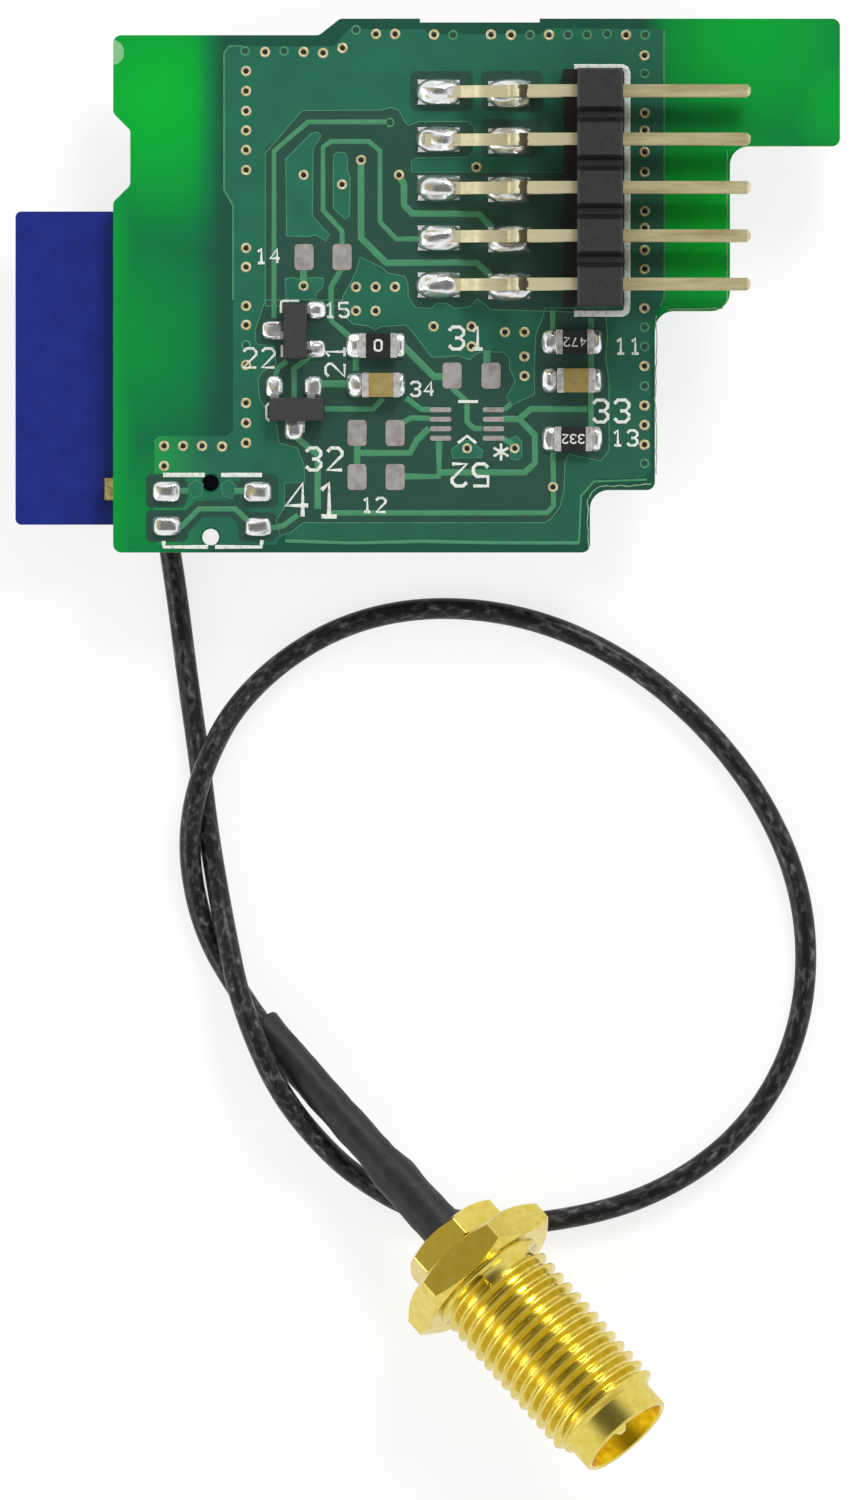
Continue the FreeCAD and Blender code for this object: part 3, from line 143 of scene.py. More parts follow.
# Islands of copper inside the clearings, as outlines of the artwork grid.
ISLANDS = [
    [(286.5, 236), (285.7, 159), (311, 133.6), (317.3, 132), (321, 135.6), (313, 149),
     (312.2, 216), (329.2, 234.6), (326, 241), (315, 234.6), (309, 236.6)],
    [(333.5, 155), (337.8, 152), (345, 153), (347.6, 159), (347, 169), (350, 177.5),
     (349.6, 216), (345, 219.3), (333.3, 208)],
    [(285, 279), (293, 277.5), (300, 279.5), (315, 277.5), (323.5, 278.5), (322.5, 288),
     (316, 293), (316, 299), (286, 299)],
    [(451.5, 450), (456.5, 445.5), (464, 441), (471, 441), (483, 451), (481, 457.5), (453, 458)],
    [(511, 438), (516, 436), (521.5, 441), (522, 456), (518, 460), (510.5, 459)],
    [(188, 486), (196, 480), (203, 484), (201, 496), (193, 498)],
    [(221, 484), (229, 480), (236, 486), (232, 498), (223, 496)],
]
# Outline of the copper pour.
POUR = [
    (224, 52), (229, 46), (334, 46), (349, 29), (424, 29), (430, 34), (540, 34), (546, 28),
    (664, 29), (664, 303), (655, 312), (651, 326), (651, 470), (643, 478), (598, 479), (583, 492),
    (579, 542), (290, 540), (283, 534), (276, 545), (158, 545), (154, 540), (154, 440), (160, 436),
    (226, 436), (233, 430), (233, 206), (224, 190),
]
# Pale ridges along the pour's edges: width in millimetres and polylines.
POUR_LINES = [
    (0.10, [(233, 300), (233, 206), (224, 190), (224, 53), (229, 46), (242, 46)]),
    (0.10, [(664, 30), (664, 298), (660, 306)]),
    (0.18, [(285, 541), (350, 543), (424, 541.5), (500, 543), (579, 543)]),
    (0.12, [(579, 543), (581, 496), (594, 481.6), (647, 479.6)]),
]
# Columns of through-plated holes along the two sides of the pour.
LEFT_VIAS = 246
RIGHT_VIAS = 644.5
# Through-plated holes with a bare ring.
OPEN_VIAS = [
    *((LEFT_VIAS, y) for y in (71, 91, 111, 130.5, 150, 170, 248, 267, 306, 325, 365, 403, 423,
                               443)),
    *((RIGHT_VIAS, y) for y in (55.5, 113, 130.5, 152, 172, 211, 228, 250, 269, 308, 366, 405.5,
                                425, 444.7)),
    (265, 52), (303.5, 52), (323, 53), (342.5, 48), (376, 34), (395, 34), (434, 34.7),
    (491, 34.7), (511, 35), (549, 35), (626, 35), (303.5, 175), (342, 184.5), (361, 160),
    (399, 175), (476.5, 167), (303.5, 286), (356, 287), (375.5, 287), (395, 287), (356, 311),
    (375.5, 311), (433.5, 326.5), (471.5, 326.5), (471.5, 346.5), (505, 332), (524.5, 332),
    (524.5, 356.5), (524.5, 376), (467, 448.4), (514.7, 448.4), (553, 487), (164, 446), (183, 446),
    (202, 446), (222, 446.5), (164, 466),
]
# Through-plated holes that the mask covers.
COVERED_VIAS = [
    *((RIGHT_VIAS, y) for y in (73.5, 327, 346.5, 386, 463.5)),
    (LEFT_VIAS, 345), (530, 35), (587, 35), (645, 35), (245, 51), (284, 51), (356, 30), (453, 35),
    (568, 35), (607, 34), (303.5, 155), (389.6, 122.5),
]
# Open peg holes of the push-button position, and the radius kept free round them.
PEG_HOLES = [(210.5, 537), (210.5, 483)]
PEG_CLEARING = 0.52 * MM
# How far the corners of the pad clearings are cut off, in grid steps.
CLEARING_CORNER = 4
# Channel on both sides of a trace, and the raised edge round clearings and islands.
CHANNEL_WIDTH = 0.62 * MM
EDGE_WIDTH = 0.055 * MM
# Radius of a covered via's bore and of its ring.
COVERED_BORE = 0.17 * MM
COVERED_RING = 0.27 * MM
# Tops of the artwork's layers, in copper heights above the board. The step keeps the pieces of
# one layer out of each other's plane.
RIDGE_LAYER = 1.1
CLEARING_LAYER = 1.35
VIA_LAYER = 1.5
CHANNEL_LAYER = 1.60
VIA_RING_LAYER = 1.8
EDGE_LAYER = 1.9
TRACE_LAYER = 2.0
ISLAND_LAYER = 2.2
OPEN_HOLE_LAYER = 3.0
INK_LAYER = 3.0
OPEN_RING_LAYER = 3.2
LAYER_STEP = 0.01
# How far the plated holes stand out under the board, also in copper heights.
UNDER_HOLE_LAYER = 1.4
UNDER_RING_LAYER = 2.0
# Tin that shows at the corners of the header pads: height, and outline from the pad's middle.
PAD_TIN = 0.05 * MM
PAD_CORNERS = [(-22, 12.5), (20, 12), (20, -12), (-22, -12.5), (-20, 0)]
# Frayed glass cloth along the sawn edges at the right.
FRAYED_EDGES = [
    [(656, 316), (656.5, 352), (655.5, 398), (656.5, 430), (656, 474)],
    [(652, 484), (628, 486), (600, 486), (592, 492), (588, 500), (588, 548)],
    [(727, 150), (727, 300), (722, 308), (700, 309), (668, 309)],
]
# White ink: line width in millimetres and polylines of the artwork grid.
INK_LINES = [
    (0.36, [(574, 67.5), (622, 67.5), (625.6, 69), (627, 72.6), (627, 308.4), (625.6, 312),
            (622, 313.4), (574, 313.4)]),
    (0.24, [(163, 475), (204.5, 475)]),
    (0.24, [(221, 475), (262, 475)]),
    (0.22, [(163.5, 541), (164, 547), (208, 547)]),
    (0.22, [(215, 547), (261, 547), (262, 540)]),
    (0.16, [(458, 401.6), (478, 401.6)]),
    (0.16, [(458, 443), (467, 436), (476, 443)]),
    (0.14, [(281, 313), (281, 302), (283, 301), (299, 301)]),
    (0.14, [(282, 345), (282, 357)]),
    (0.14, [(270, 403), (266.4, 406), (266.4, 418), (270, 421)]),
    (0.14, [(501, 443.5), (501, 460.5)]),
    (0.14, [(493.6, 447.8), (508.4, 456.2)]),
    (0.14, [(493.6, 456.2), (508.4, 447.8)]),
]
# Plain numbers beside the parts: text, middle, height in grid steps, turn in degrees.
INK_NUMBERS = [
    ("14", 268, 256, 14, 0), ("15", 337, 310, 14, 0), ("22", 259, 358, 19, 0),
    ("21", 335, 361, 19, 90), ("34", 422, 389, 14, 0), ("32", 324, 459, 22, 0),
    ("41", 313, 500, 33, 0), ("12", 374, 505, 14, 0), ("31", 467, 338, 22, 0),
    ("52", 470, 475, 22, 180), ("33", 611, 411, 22, 0), ("11", 628, 346, 15, 0),
    ("13", 625, 438, 15, 0),
]
# Numbers on the chips: node, text, turn, height and pen in millimetres, flattening.
CHIP_NUMBERS = [
    ("jumper_body", "0", 0, 0.55, 0.12, 0.08), ("resistor_1_body", "472", 180, 0.44, 0.085, 0.20),
    ("resistor_2_body", "332", 180, 0.44, 0.085, 0.20),
]
# Strokes of the plotted digits, in fields of this width and height with this gap between.
DIGIT_WIDE, DIGIT_HIGH, DIGIT_GAP = 4, 6, 1.8
DIGITS = {
    "0": [[(1, 0), (3, 0), (4, 1), (4, 5), (3, 6), (1, 6), (0, 5), (0, 1), (1, 0)]],
    "1": [[(0.6, 4.8), (2, 6), (2, 0)], [(0.6, 0), (3.4, 0)]],
    "2": [[(0, 5), (1, 6), (3, 6), (4, 5), (4, 4), (0, 0), (4, 0)]],
    "3": [[(0, 5), (1, 6), (3, 6), (4, 5), (4, 4), (3, 3), (4, 2), (4, 1), (3, 0), (1, 0), (0, 1)],
          [(1.6, 3), (3, 3)]],
    "4": [[(3, 0), (3, 6), (0, 2), (4, 2)]],
    "5": [[(4, 6), (0, 6), (0, 3.4), (3, 3.4), (4, 2.4), (4, 1), (3, 0), (1, 0), (0, 1)]],
    "7": [[(0, 6), (4, 6), (1.4, 0)]],
}

# Solder in the artwork grid: middle, half length, half width, height in millimetres, squareness.
TOE_SOLDER = [(439.5, y, 23.5, 13.4, 0.80, 0.72) for y in (92, 139.5, 188, 238, 285)]
HEEL_SOLDER = [(510.0, y + 1.5, 24.0, 14.5, 0.70, 0.72) for y in (92, 139.5, 188, 238, 285)]
PART_SOLDER = [
    (355, 345.5, 9.5, 12.6, 0.42, 0.7), (399.5, 345.5, 6.5, 12.4, 0.40, 0.7),
    (355.5, 385, 9.5, 12.4, 0.55, 0.7), (399.5, 385, 6.0, 12.4, 0.50, 0.7),
    (550, 342, 8.5, 12.2, 0.42, 0.7), (596, 342, 6.5, 12.2, 0.40, 0.7),
    (549.5, 380.5, 8.5, 12.4, 0.55, 0.7), (597, 380.5, 6.0, 12.4, 0.50, 0.7),
    (550, 439, 8.5, 12.6, 0.42, 0.7), (596, 439, 6.5, 12.6, 0.40, 0.7),
    (273, 330, 11, 9.5, 0.34, 0.6), (316, 310, 10, 9, 0.34, 0.6), (316, 349, 10, 9, 0.34, 0.6),
    (274.5, 387, 9, 11, 0.34, 0.6), (313, 387, 9, 11, 0.34, 0.6), (294, 429, 9.5, 11, 0.34, 0.6),
]
BUTTON_SOLDER = [
    (166.5, 491.5, 14.5, 10.5, 0.40, 0.55), (257.5, 492, 14.5, 10.5, 0.38, 0.55),
    (166.5, 526, 14.5, 10, 0.40, 0.55), (258, 527, 14, 9.5, 0.38, 0.55),
]

# Where light comes through the bare laminate: x, y, reach in millimetres, and share.
LIT_PATCHES = [
    (-14.2, 9.8, 11.5, 1.0), (-16.4, -2.6, 10.5, 0.54), (-16.4, -12.0, 7.5, 0.50),
    (17.0, 12.6, 10.5, 0.86), (15.2, 3.2, 11.0, 1.0), (21.5, 9.5, 6.0, 0.80),
]
# Bands across the board in which that light changes: from x, to x, share before, share beyond.
# The first is a lit rim. Between the other two the pour keeps the light out.
LIT_RIM = (-16.5, -14.3, 0.62, 0.0)
LIT_LEFT = (-12.6, -10.5, 1.0, 0.0)
LIT_RIGHT = (11.2, 12.7, 0.0, 1.0)
# The chipped corner of the main board, and where its nub was broken off.
CHIPPED_CORNER = (-16.7 * MM, 12.3 * MM, BOARD_TOP)
NUB_BREAK = -16.56 * MM
# Header block's foot ledge, and along the pins where the tin ends and where shade is painted in
# each upper bend.
LEDGE_DEPTH = 0.70 * MM
TINNED_TO = 8.4 * MM
BEND_SHADE_AT = 5.17 * MM
# Crossings of the cable's braid along its whole length and round it, wide enough to show.
BRAID_ALONG = 150.0
BRAID_ROUND = 5.0

# Pads at the radio board's half holes: how many on a long edge, the first one's place, their
# pitch and width, how far in from the edge they start and end, and how deep they are.
PADS_A_SIDE = 14
FIRST_PAD = 8.60 * MM
PAD_PITCH = 1.27 * MM
PAD_WIDTH = 0.80 * MM
PAD_NEAR = 0.36 * MM
PAD_FAR = 1.10 * MM
PAD_DEPTH = 0.04 * MM

# Sleeve's outer and inner surface, as (along, radius) in millimetres from its start.
SLEEVE_OUTER = [
    (0.0, 0.93), (0.12, 0.99), (0.6, 0.97), (2.0, 0.955), (4.2, 0.95), (6.4, 0.95), (8.9, 0.96),
    (9.8, 0.99), (10.4, 1.10), (10.9, 1.17), (11.8, 1.155), (13.1, 1.14), (14.1, 1.15),
    (14.9, 1.18), (15.30, 1.20),
]
SLEEVE_INNER = [(15.30, 0.865), (10.4, 0.865), (10.0, 0.685), (0.0, 0.685)]
# Spacing of the rings of vertices along the sleeve, fine enough for its small dents.
SLEEVE_RING = 0.25

# Jack, in millimetres from the sleeve's start along its own axis.
SLEEVE_END = 15.33
HEX_END = 16.83
FLANGE_START = 16.95
FLANGE_END = 18.67
RELIEF_END = 19.12
THREAD_END = 28.34
MOUTH_END = 29.94
SLEEVE_LEAD = 0.22
# Width over its flats and their turn about the axis in degrees, the thread's pitch and radii,
# and the radius and depth of its mouth and of its bore.
NUT_FLATS, NUT_TURN = 5.2, 14.7
FLANGE_FLATS, FLANGE_TURN = 8.0, 4.7
THREAD_PITCH = 0.7056
THREAD_ROOT = 2.74
THREAD_CREST = 3.175
MOUTH_RADIUS, MOUTH_DEPTH = 2.33, 4.2
BORE_RADIUS, BORE_DEPTH = 2.05, 13.60

# Stage, in metres: the point that the camera hangs over, the floor, the lamps and the doorway.
CAMERA_OVER = (0.26 * MM, -24.45 * MM)
FLOOR_REACH = 1.2
KEY_PLACE = (0.17, 0.50, 0.45)
FILL_PLACE = (-0.55, -0.24, 0.26)
LAMP_AIM = (0, -0.02, 0)
DOOR_TOWARD = (-0.56, 0.15, 0.815)
DOOR_COLOUR = "#b5aa7c"

# The node that holds a material's surface values.
SHADER = "Principled BSDF"


def hex_colour(code):
    """Linear colour of an sRGB hex code."""
    parts = [int(code[i:i + 2], 16) / 255 for i in (1, 3, 5)]
    linear = [p / 12.92 if p <= 0.04045 else ((p + 0.055) / 1.055) ** 2.4 for p in parts]
    return (*linear, 1.0)


def grey(level):
    """Opaque grey as a linear colour."""
    return (level, level, level, 1.0)


def colour_setting(name, description, code):
    """Colour that a user can change, with its sRGB default."""
    return bpy.props.FloatVectorProperty(name=name, description=description, subtype="COLOR",
                                         size=4, default=hex_colour(code))


def length_setting(name, description, metres):
    """Length that a user can change."""
    return bpy.props.FloatProperty(name=name, description=description, unit="LENGTH",
                                   default=metres)


class BoardLook(bpy.types.PropertyGroup):
    """Colours and heights of the board's artwork."""

    laminate_bright: colour_setting(
        "Lit laminate", "Mask over bare laminate where light comes through it", "#00ae32")
    laminate_deep: colour_setting(
        "Deep laminate", "Mask over bare laminate near the copper", "#1c5040")
    copper_tone: colour_setting(
        "Mask over copper", "Mask where the copper pour is under it", "#1a624d")
    clearing_tone: colour_setting(
        "Mask over clearings", "Mask in the channels beside the traces", "#22493f")
    trace_tone: colour_setting(
        "Mask over traces", "Mask along the edges of raised copper lines", "#41865f")
    copper_height: length_setting(
        "Copper height", "How far the copper pour lifts the mask", 0.012 * MM)
    ring_width: length_setting("Via ring", "Outer diameter of a via's bare ring", 0.58 * MM)
    hole_width: length_setting("Via hole", "Diameter of a via's hole", 0.29 * MM)


class MetalLook(bpy.types.PropertyGroup):
    """Colours of the metals."""

    gold: colour_setting("Gold plating", "Plating of the jack and the plug", "#e2ce6a")
    pin: colour_setting("Pin plating", "Thin gold flash on the header pins", "#dcd3a8")
    solder: colour_setting("Solder", "Tin solder", "#f1f2f3")


class CableLook(bpy.types.PropertyGroup):
    """Size and colour of the aerial cable."""

    diameter: length_setting("Diameter", "Over the jacket", 1.13 * MM)
    length: length_setting("Length", "From plug to ferrule", 0.1407)
    jacket: colour_setting("Jacket", "Extruded jacket", "#1a1a1b")


class StageLook(bpy.types.PropertyGroup):
    """Camera distance and lamps."""

    distance: length_setting("Camera distance", "Above the main board", 1.974)
    lens: bpy.props.FloatProperty(
        name="Lens", description="Focal length in millimetres", default=900.0)
    key_power: bpy.props.FloatProperty(
        name="Key lamp", description="Power in watts", default=2.35)
    fill_power: bpy.props.FloatProperty(
        name="Fill lamp", description="Power in watts", default=0.8)


class ModuleLook(bpy.types.PropertyGroup):
    """All settings of the module."""

    board: bpy.props.PointerProperty(type=BoardLook, name="Board", description="Board artwork")
    metal: bpy.props.PointerProperty(type=MetalLook, name="Metal", description="Metals")
    cable: bpy.props.PointerProperty(type=CableLook, name="Cable", description="Aerial cable")
    stage: bpy.props.PointerProperty(type=StageLook, name="Stage", description="Camera and lamps")


def grid_point(x, y):
    """Place in metres of a point of the artwork grid."""
    return Vector(((x - GRID_X) * GRID, (GRID_Y - y) * GRID, 0.0))


def on_board(points):
    """Places in metres of a line or an outline of the artwork grid."""
    return [grid_point(x, y) for x, y in points]


def add_node(tree, kind, inputs=None, stops=None, **settings):
    """Adds a node with its settings, its input values or links and, for a ramp, its stops."""
    made = tree.nodes.new(kind)
    for name, setting in settings.items():
        setattr(made, name, setting)
    for key, given in (inputs or {}).items():
        if isinstance(given, bpy.types.NodeSocket):
            tree.links.new(given, made.inputs[key])
        else:
            made.inputs[key].default_value = given
    if stops:
        made.color_ramp.elements[0].position, made.color_ramp.elements[0].color = stops[0]
        made.color_ramp.elements[1].position, made.color_ramp.elements[1].color = stops[-1]
        for position, colour in stops[1:-1]:
            made.color_ramp.elements.new(position).color = colour
    return made


def new_material(name, **settings):
    """Material and its node tree, with values set on its Principled shader."""
    made = bpy.data.materials.new(name)
    made.use_nodes = True
    for key, given in settings.items():
        made.node_tree.nodes[SHADER].inputs[key.replace("_", " ")].default_value = given
    return made, made.node_tree


def object_noise(tree, scale_mm, detail=3.0, roughness=0.5, stretch=(1, 1, 1)):
    """Noise over Object coordinates whose features are about scale_mm wide."""
    place = add_node(tree, "ShaderNodeTexCoord").outputs["Object"]
    mapped = add_node(tree, "ShaderNodeMapping", {"Vector": place, "Scale": stretch})
    return add_node(tree, "ShaderNodeTexNoise",
                    {"Vector": mapped.outputs["Vector"], "Scale": 1 / (scale_mm * MM),
                     "Detail": detail, "Roughness": roughness}).outputs["Fac"]


def object_x(tree):
    """How far each point is along the module's X."""
    place = add_node(tree, "ShaderNodeTexCoord").outputs["Object"]
    return add_node(tree, "ShaderNodeSeparateXYZ", {"Vector": place}).outputs["X"]


def strongest(tree, values):
    """Largest of some values at each point."""
    top = values[0]
    for value in values[1:]:
        top = add_node(tree, "ShaderNodeMath", {0: top, 1: value},
                       operation="MAXIMUM").outputs["Value"]
    return top


def coloured_by(tree, value, stops):
    """Colours the shader along a ramp that a value runs through."""
    ramp = add_node(tree, "ShaderNodeValToRGB", {"Fac": value}, stops=stops)
    tree.links.new(ramp.outputs["Color"], tree.nodes[SHADER].inputs["Base Color"])


def overlay(tree, share, colour):
    """Lays a colour over what the shader shows, by its share at each point."""
    base = tree.nodes[SHADER].inputs["Base Color"]
    mixed = add_node(tree, "ShaderNodeMix", {"Factor": share, "A": base.links[0].from_socket,
                     "B": colour}, data_type="RGBA")
    tree.links.new(mixed.outputs["Result"], base)


def bumped(tree, height, distance_mm, strength=1.0):
    """Ties a height to the shader's normal."""
    bump = add_node(tree, "ShaderNodeBump",
                    {"Height": height, "Distance": distance_mm * MM, "Strength": strength})
    tree.links.new(bump.outputs["Normal"], tree.nodes[SHADER].inputs["Normal"])


def show_cloth_edges(tree, layer_mm, sway, dark, light):
    """Sawn and routed edges show the layers of glass cloth as fine pale lines."""
    normal = add_node(tree, "ShaderNodeNewGeometry").outputs["Normal"]
    upright = add_node(tree, "ShaderNodeSeparateXYZ", {"Vector": normal})
    size = add_node(tree, "ShaderNodeMath", {0: upright.outputs["Z"]}, operation="ABSOLUTE")
    edge = add_node(tree, "ShaderNodeMapRange",
                    {"Value": size.outputs["Value"], "From Min": 0.35, "From Max": 0.6,
                     "To Min": 1.0, "To Max": 0.0})
    place = add_node(tree, "ShaderNodeTexCoord").outputs["Object"]
    layers = add_node(tree, "ShaderNodeTexWave", {"Vector": place, "Scale": 1 / (layer_mm * MM),
                      "Distortion": sway, "Detail": 3.0}, bands_direction="Z")
    cloth = add_node(tree, "ShaderNodeValToRGB", {"Fac": layers.outputs["Fac"]},
                     stops=[(0.2, hex_colour(dark)), (0.8, hex_colour(light))])
    overlay(tree, edge.outputs["Result"], cloth.outputs["Color"])


def light_through_laminate(tree, cloud):
    """Light that comes through the bare laminate: bright patches, and none near the pour."""
    place = add_node(tree, "ShaderNodeTexCoord").outputs["Object"]
    patches = []
    for x, y, reach, share in LIT_PATCHES:
        far = add_node(tree, "ShaderNodeVectorMath",
                       {0: place, 1: (x * MM, y * MM, BOARD_TOP)}, operation="DISTANCE")
        near = add_node(tree, "ShaderNodeMapRange",
                        {"Value": far.outputs["Value"], "From Min": 0.0, "From Max": reach * MM,
                         "To Min": share, "To Max": 0.0}, interpolation_type="SMOOTHSTEP")
        patches.append(near.outputs["Result"])
    across = object_x(tree)
    bands = []
    for start, end, before, beyond in (LIT_RIM, LIT_LEFT, LIT_RIGHT):
        band = add_node(tree, "ShaderNodeMapRange",
                        {"Value": across, "From Min": start * MM, "From Max": end * MM,
                         "To Min": before, "To Max": beyond}, interpolation_type="SMOOTHSTEP")
        bands.append(band.outputs["Result"])
    rim, left, right = bands
    glow = strongest(tree, patches + [rim])
    open_light = strongest(tree, [left, right])
    uneven = add_node(tree, "ShaderNodeMath", {0: cloud, 1: 0.14, 2: -0.07},
                      operation="MULTIPLY_ADD")
    level = add_node(tree, "ShaderNodeMath", {0: glow, 1: open_light, 2: uneven.outputs["Value"]},
                     operation="MULTIPLY_ADD")
    return level.outputs["Value"]


def laminate_material(look):
    """Green mask on glass-fibre laminate: glows where light comes through it, tan at its edges."""
    made, tree = new_material("green_mask_on_laminate", Roughness=0.42, IOR=1.5,
                              Specular_IOR_Level=0.2)
    cloud = object_noise(tree, 2.2, detail=4.0)
    coloured_by(tree, light_through_laminate(tree, cloud),
                [(0.0, look.laminate_deep), (0.23, hex_colour("#0e7042")),
                 (0.41, hex_colour("#08803e")), (1.0, look.laminate_bright)])
    show_cloth_edges(tree, 1.6, 0.6, "#5d7a3f", "#a3a066")
    # A chipped corner shows its pale green cloth, and the broken nub bare tan laminate.
    place = add_node(tree, "ShaderNodeTexCoord").outputs["Object"]
    corner = add_node(tree, "ShaderNodeVectorMath", {0: place, 1: CHIPPED_CORNER},
                      operation="DISTANCE")
    ragged = add_node(tree, "ShaderNodeMath", {0: cloud, 1: -0.8 * MM,
                      2: corner.outputs["Value"]}, operation="MULTIPLY_ADD")
    chipped = add_node(tree, "ShaderNodeMath", {0: ragged.outputs["Value"], 1: 0.30 * MM},
                       operation="LESS_THAN")
    overlay(tree, chipped.outputs["Value"], hex_colour("#7fc088"))
    fibre = add_node(tree, "ShaderNodeValToRGB", {"Fac": object_noise(tree, 0.25, detail=4.0)},
                     stops=[(0.3, hex_colour("#6f5f3a")), (0.7, hex_colour("#a89c62"))])
    nub = add_node(tree, "ShaderNodeMath", {0: object_x(tree), 1: NUB_BREAK},
                   operation="LESS_THAN")
    overlay(tree, nub.outputs["Value"], fibre.outputs["Color"])
    # Mask follows the cloth under it: a faint weave of 0.5 mm.
    bumped(tree, object_noise(tree, 0.5, detail=2.0), 0.006, 0.5)
    return made


def mask_material(name, tone, light, mottle_mm=1.6):
    """Cured mask over copper or in a clearing: semi-gloss, clouded by its uneven thickness."""
    made, tree = new_material(name, Roughness=0.38, IOR=1.5)
    cloud = object_noise(tree, mottle_mm, detail=5.0, roughness=0.6)
    coloured_by(tree, cloud, [(0.25, tone), (0.75, light)])
    bumped(tree, object_noise(tree, 0.35, detail=3.0), 0.004, 0.4)
    return made


def fade_pour(tree):
    """The pour is darker at its far right corner, and brighter along the bare laminate."""
    # Rises by 1 over 22 mm to the right and over 26 mm towards the cable.
    place = add_node(tree, "ShaderNodeTexCoord").outputs["Object"]
    slope = add_node(tree, "ShaderNodeVectorMath",
                     {0: place, 1: (1 / (22 * MM), -1 / (26 * MM), 0)}, operation="DOT_PRODUCT")
    deep = add_node(tree, "ShaderNodeMapRange",
                    {"Value": slope.outputs["Value"], "From Min": -0.5, "From Max": 0.8,
                     "To Min": 0.0, "To Max": 0.4}, interpolation_type="SMOOTHSTEP")
    overlay(tree, deep.outputs["Result"], hex_colour("#214a3f"))
    near = add_node(tree, "ShaderNodeMapRange",
                    {"Value": object_x(tree), "From Min": -14.6 * MM, "From Max": -11.2 * MM,
                     "To Min": 1.0, "To Max": 0.0}, interpolation_type="SMOOTHSTEP")
    overlay(tree, near.outputs["Result"], hex_colour("#179247"))


def ink_material():
    """White epoxy ink: thin, so the green shows through where the screen left less of it."""
    made, tree = new_material("white_screen_ink", Roughness=0.6)
    thin = object_noise(tree, 0.22, detail=3.0)
    coloured_by(tree, thin, [(0.28, hex_colour("#a3bcab")), (0.5, hex_colour("#e6eae4"))])
    bumped(tree, thin, 0.01, 0.5)
    return made


def metal_material(name, tone, dull, roughness, grain_mm, bump_mm, metallic=1.0, stretch=(1, 1, 1)):
    """Metal whose plating varies a little in tone and gloss."""
    made, tree = new_material(name, Metallic=metallic)
    grain = object_noise(tree, grain_mm, detail=4.0, stretch=stretch)
    coloured_by(tree, grain, [(0.3, dull), (0.65, tone)])
    gloss = add_node(tree, "ShaderNodeMapRange",
                     {"Value": grain, "From Min": 0.3, "From Max": 0.7,
                      "To Min": roughness * 1.3, "To Max": roughness * 0.75})
    tree.links.new(gloss.outputs["Result"], tree.nodes[SHADER].inputs["Roughness"])
    bumped(tree, grain, bump_mm)
    return made


def moulded_material(name, tone, light, roughness, grain_mm, bump_mm, specular=0.5):
    """Moulded or fired matter with a fine matte grain."""
    made, tree = new_material(name, Roughness=roughness, Specular_IOR_Level=specular)
    grain = object_noise(tree, grain_mm, detail=5.0, roughness=0.65)
    coloured_by(tree, grain, [(0.3, hex_colour(tone)), (0.7, hex_colour(light))])
    bumped(tree, grain, bump_mm)
    return made


def fluoropolymer_material(name):
    """Machined fluoropolymer: milky white and waxy."""
    return moulded_material(name, "#e6e4dc", "#f2f0ea", 0.35, 0.5, 0.003)


def blue_mask_material():
    """Blue mask over the radio board: even and satin, with pale cloth at the edges."""
    made, tree = new_material("blue_mask_on_laminate", Roughness=0.4, IOR=1.5)
    cloud = object_noise(tree, 1.2, detail=5.0, roughness=0.6)
    coloured_by(tree, cloud, [(0.3, hex_colour("#051c78")), (0.7, hex_colour("#0a2789"))])
    show_cloth_edges(tree, 1.4, 0.5, "#5e6440", "#a09a62")
    bumped(tree, cloud, 0.006, 0.5)
    return made


def paint_shade_in_recesses(tree):
    """Painted shade: the break grooves and the foot ledge are coloured deep black, where shade
    falls in them.
    """
    normal = add_node(tree, "ShaderNodeNewGeometry").outputs["True Normal"]
    side = add_node(tree, "ShaderNodeSeparateXYZ", {"Vector": normal})
    lean = add_node(tree, "ShaderNodeMath", {0: side.outputs["Y"]}, operation="ABSOLUTE")
    slanted = add_node(tree, "ShaderNodeMath", {0: lean.outputs["Value"], 1: 0.2},
                       operation="GREATER_THAN")
    ledge = add_node(tree, "ShaderNodeMath",
                     {0: object_x(tree), 1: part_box("header_body")[0].x + LEDGE_DEPTH},
                     operation="LESS_THAN")
    # Near-black painted shade over the grooves' slanted faces and along the ledge.
    overlay(tree, strongest(tree, [slanted.outputs["Value"], ledge.outputs["Value"]]),
            hex_colour("#0d0c0d"))


def tin_pins_and_shade_bends(tree):
    """Tin whitens the pins behind the block, and dark brown shade is painted in each upper bend."""
    across = object_x(tree)
    tinned = add_node(tree, "ShaderNodeMapRange",
                      {"Value": across, "From Min": TINNED_TO - 1.0 * MM, "From Max": TINNED_TO,
                       "To Min": 0.45, "To Max": 0.0})
    overlay(tree, tinned.outputs["Result"], hex_colour("#f7f1cd"))
    along = add_node(tree, "ShaderNodeMath", {0: object_noise(tree, 0.3), 1: 0.3 * MM,
                     2: across}, operation="MULTIPLY_ADD")
    far = add_node(tree, "ShaderNodeMath", {0: along.outputs["Value"], 1: BEND_SHADE_AT},
                   operation="SUBTRACT")
    away = add_node(tree, "ShaderNodeMath", {0: far.outputs["Value"]}, operation="ABSOLUTE")
    bend_shade = add_node(tree, "ShaderNodeMapRange",
                     {"Value": away.outputs["Value"], "From Min": 0.19 * MM, "From Max": 0.27 * MM,
                      "To Min": 0.92, "To Max": 0.0}, interpolation_type="SMOOTHSTEP")
    # Dark brown painted shade in each upper bend of the pins.
    overlay(tree, bend_shade.outputs["Result"], hex_colour("#2c1f0e"))


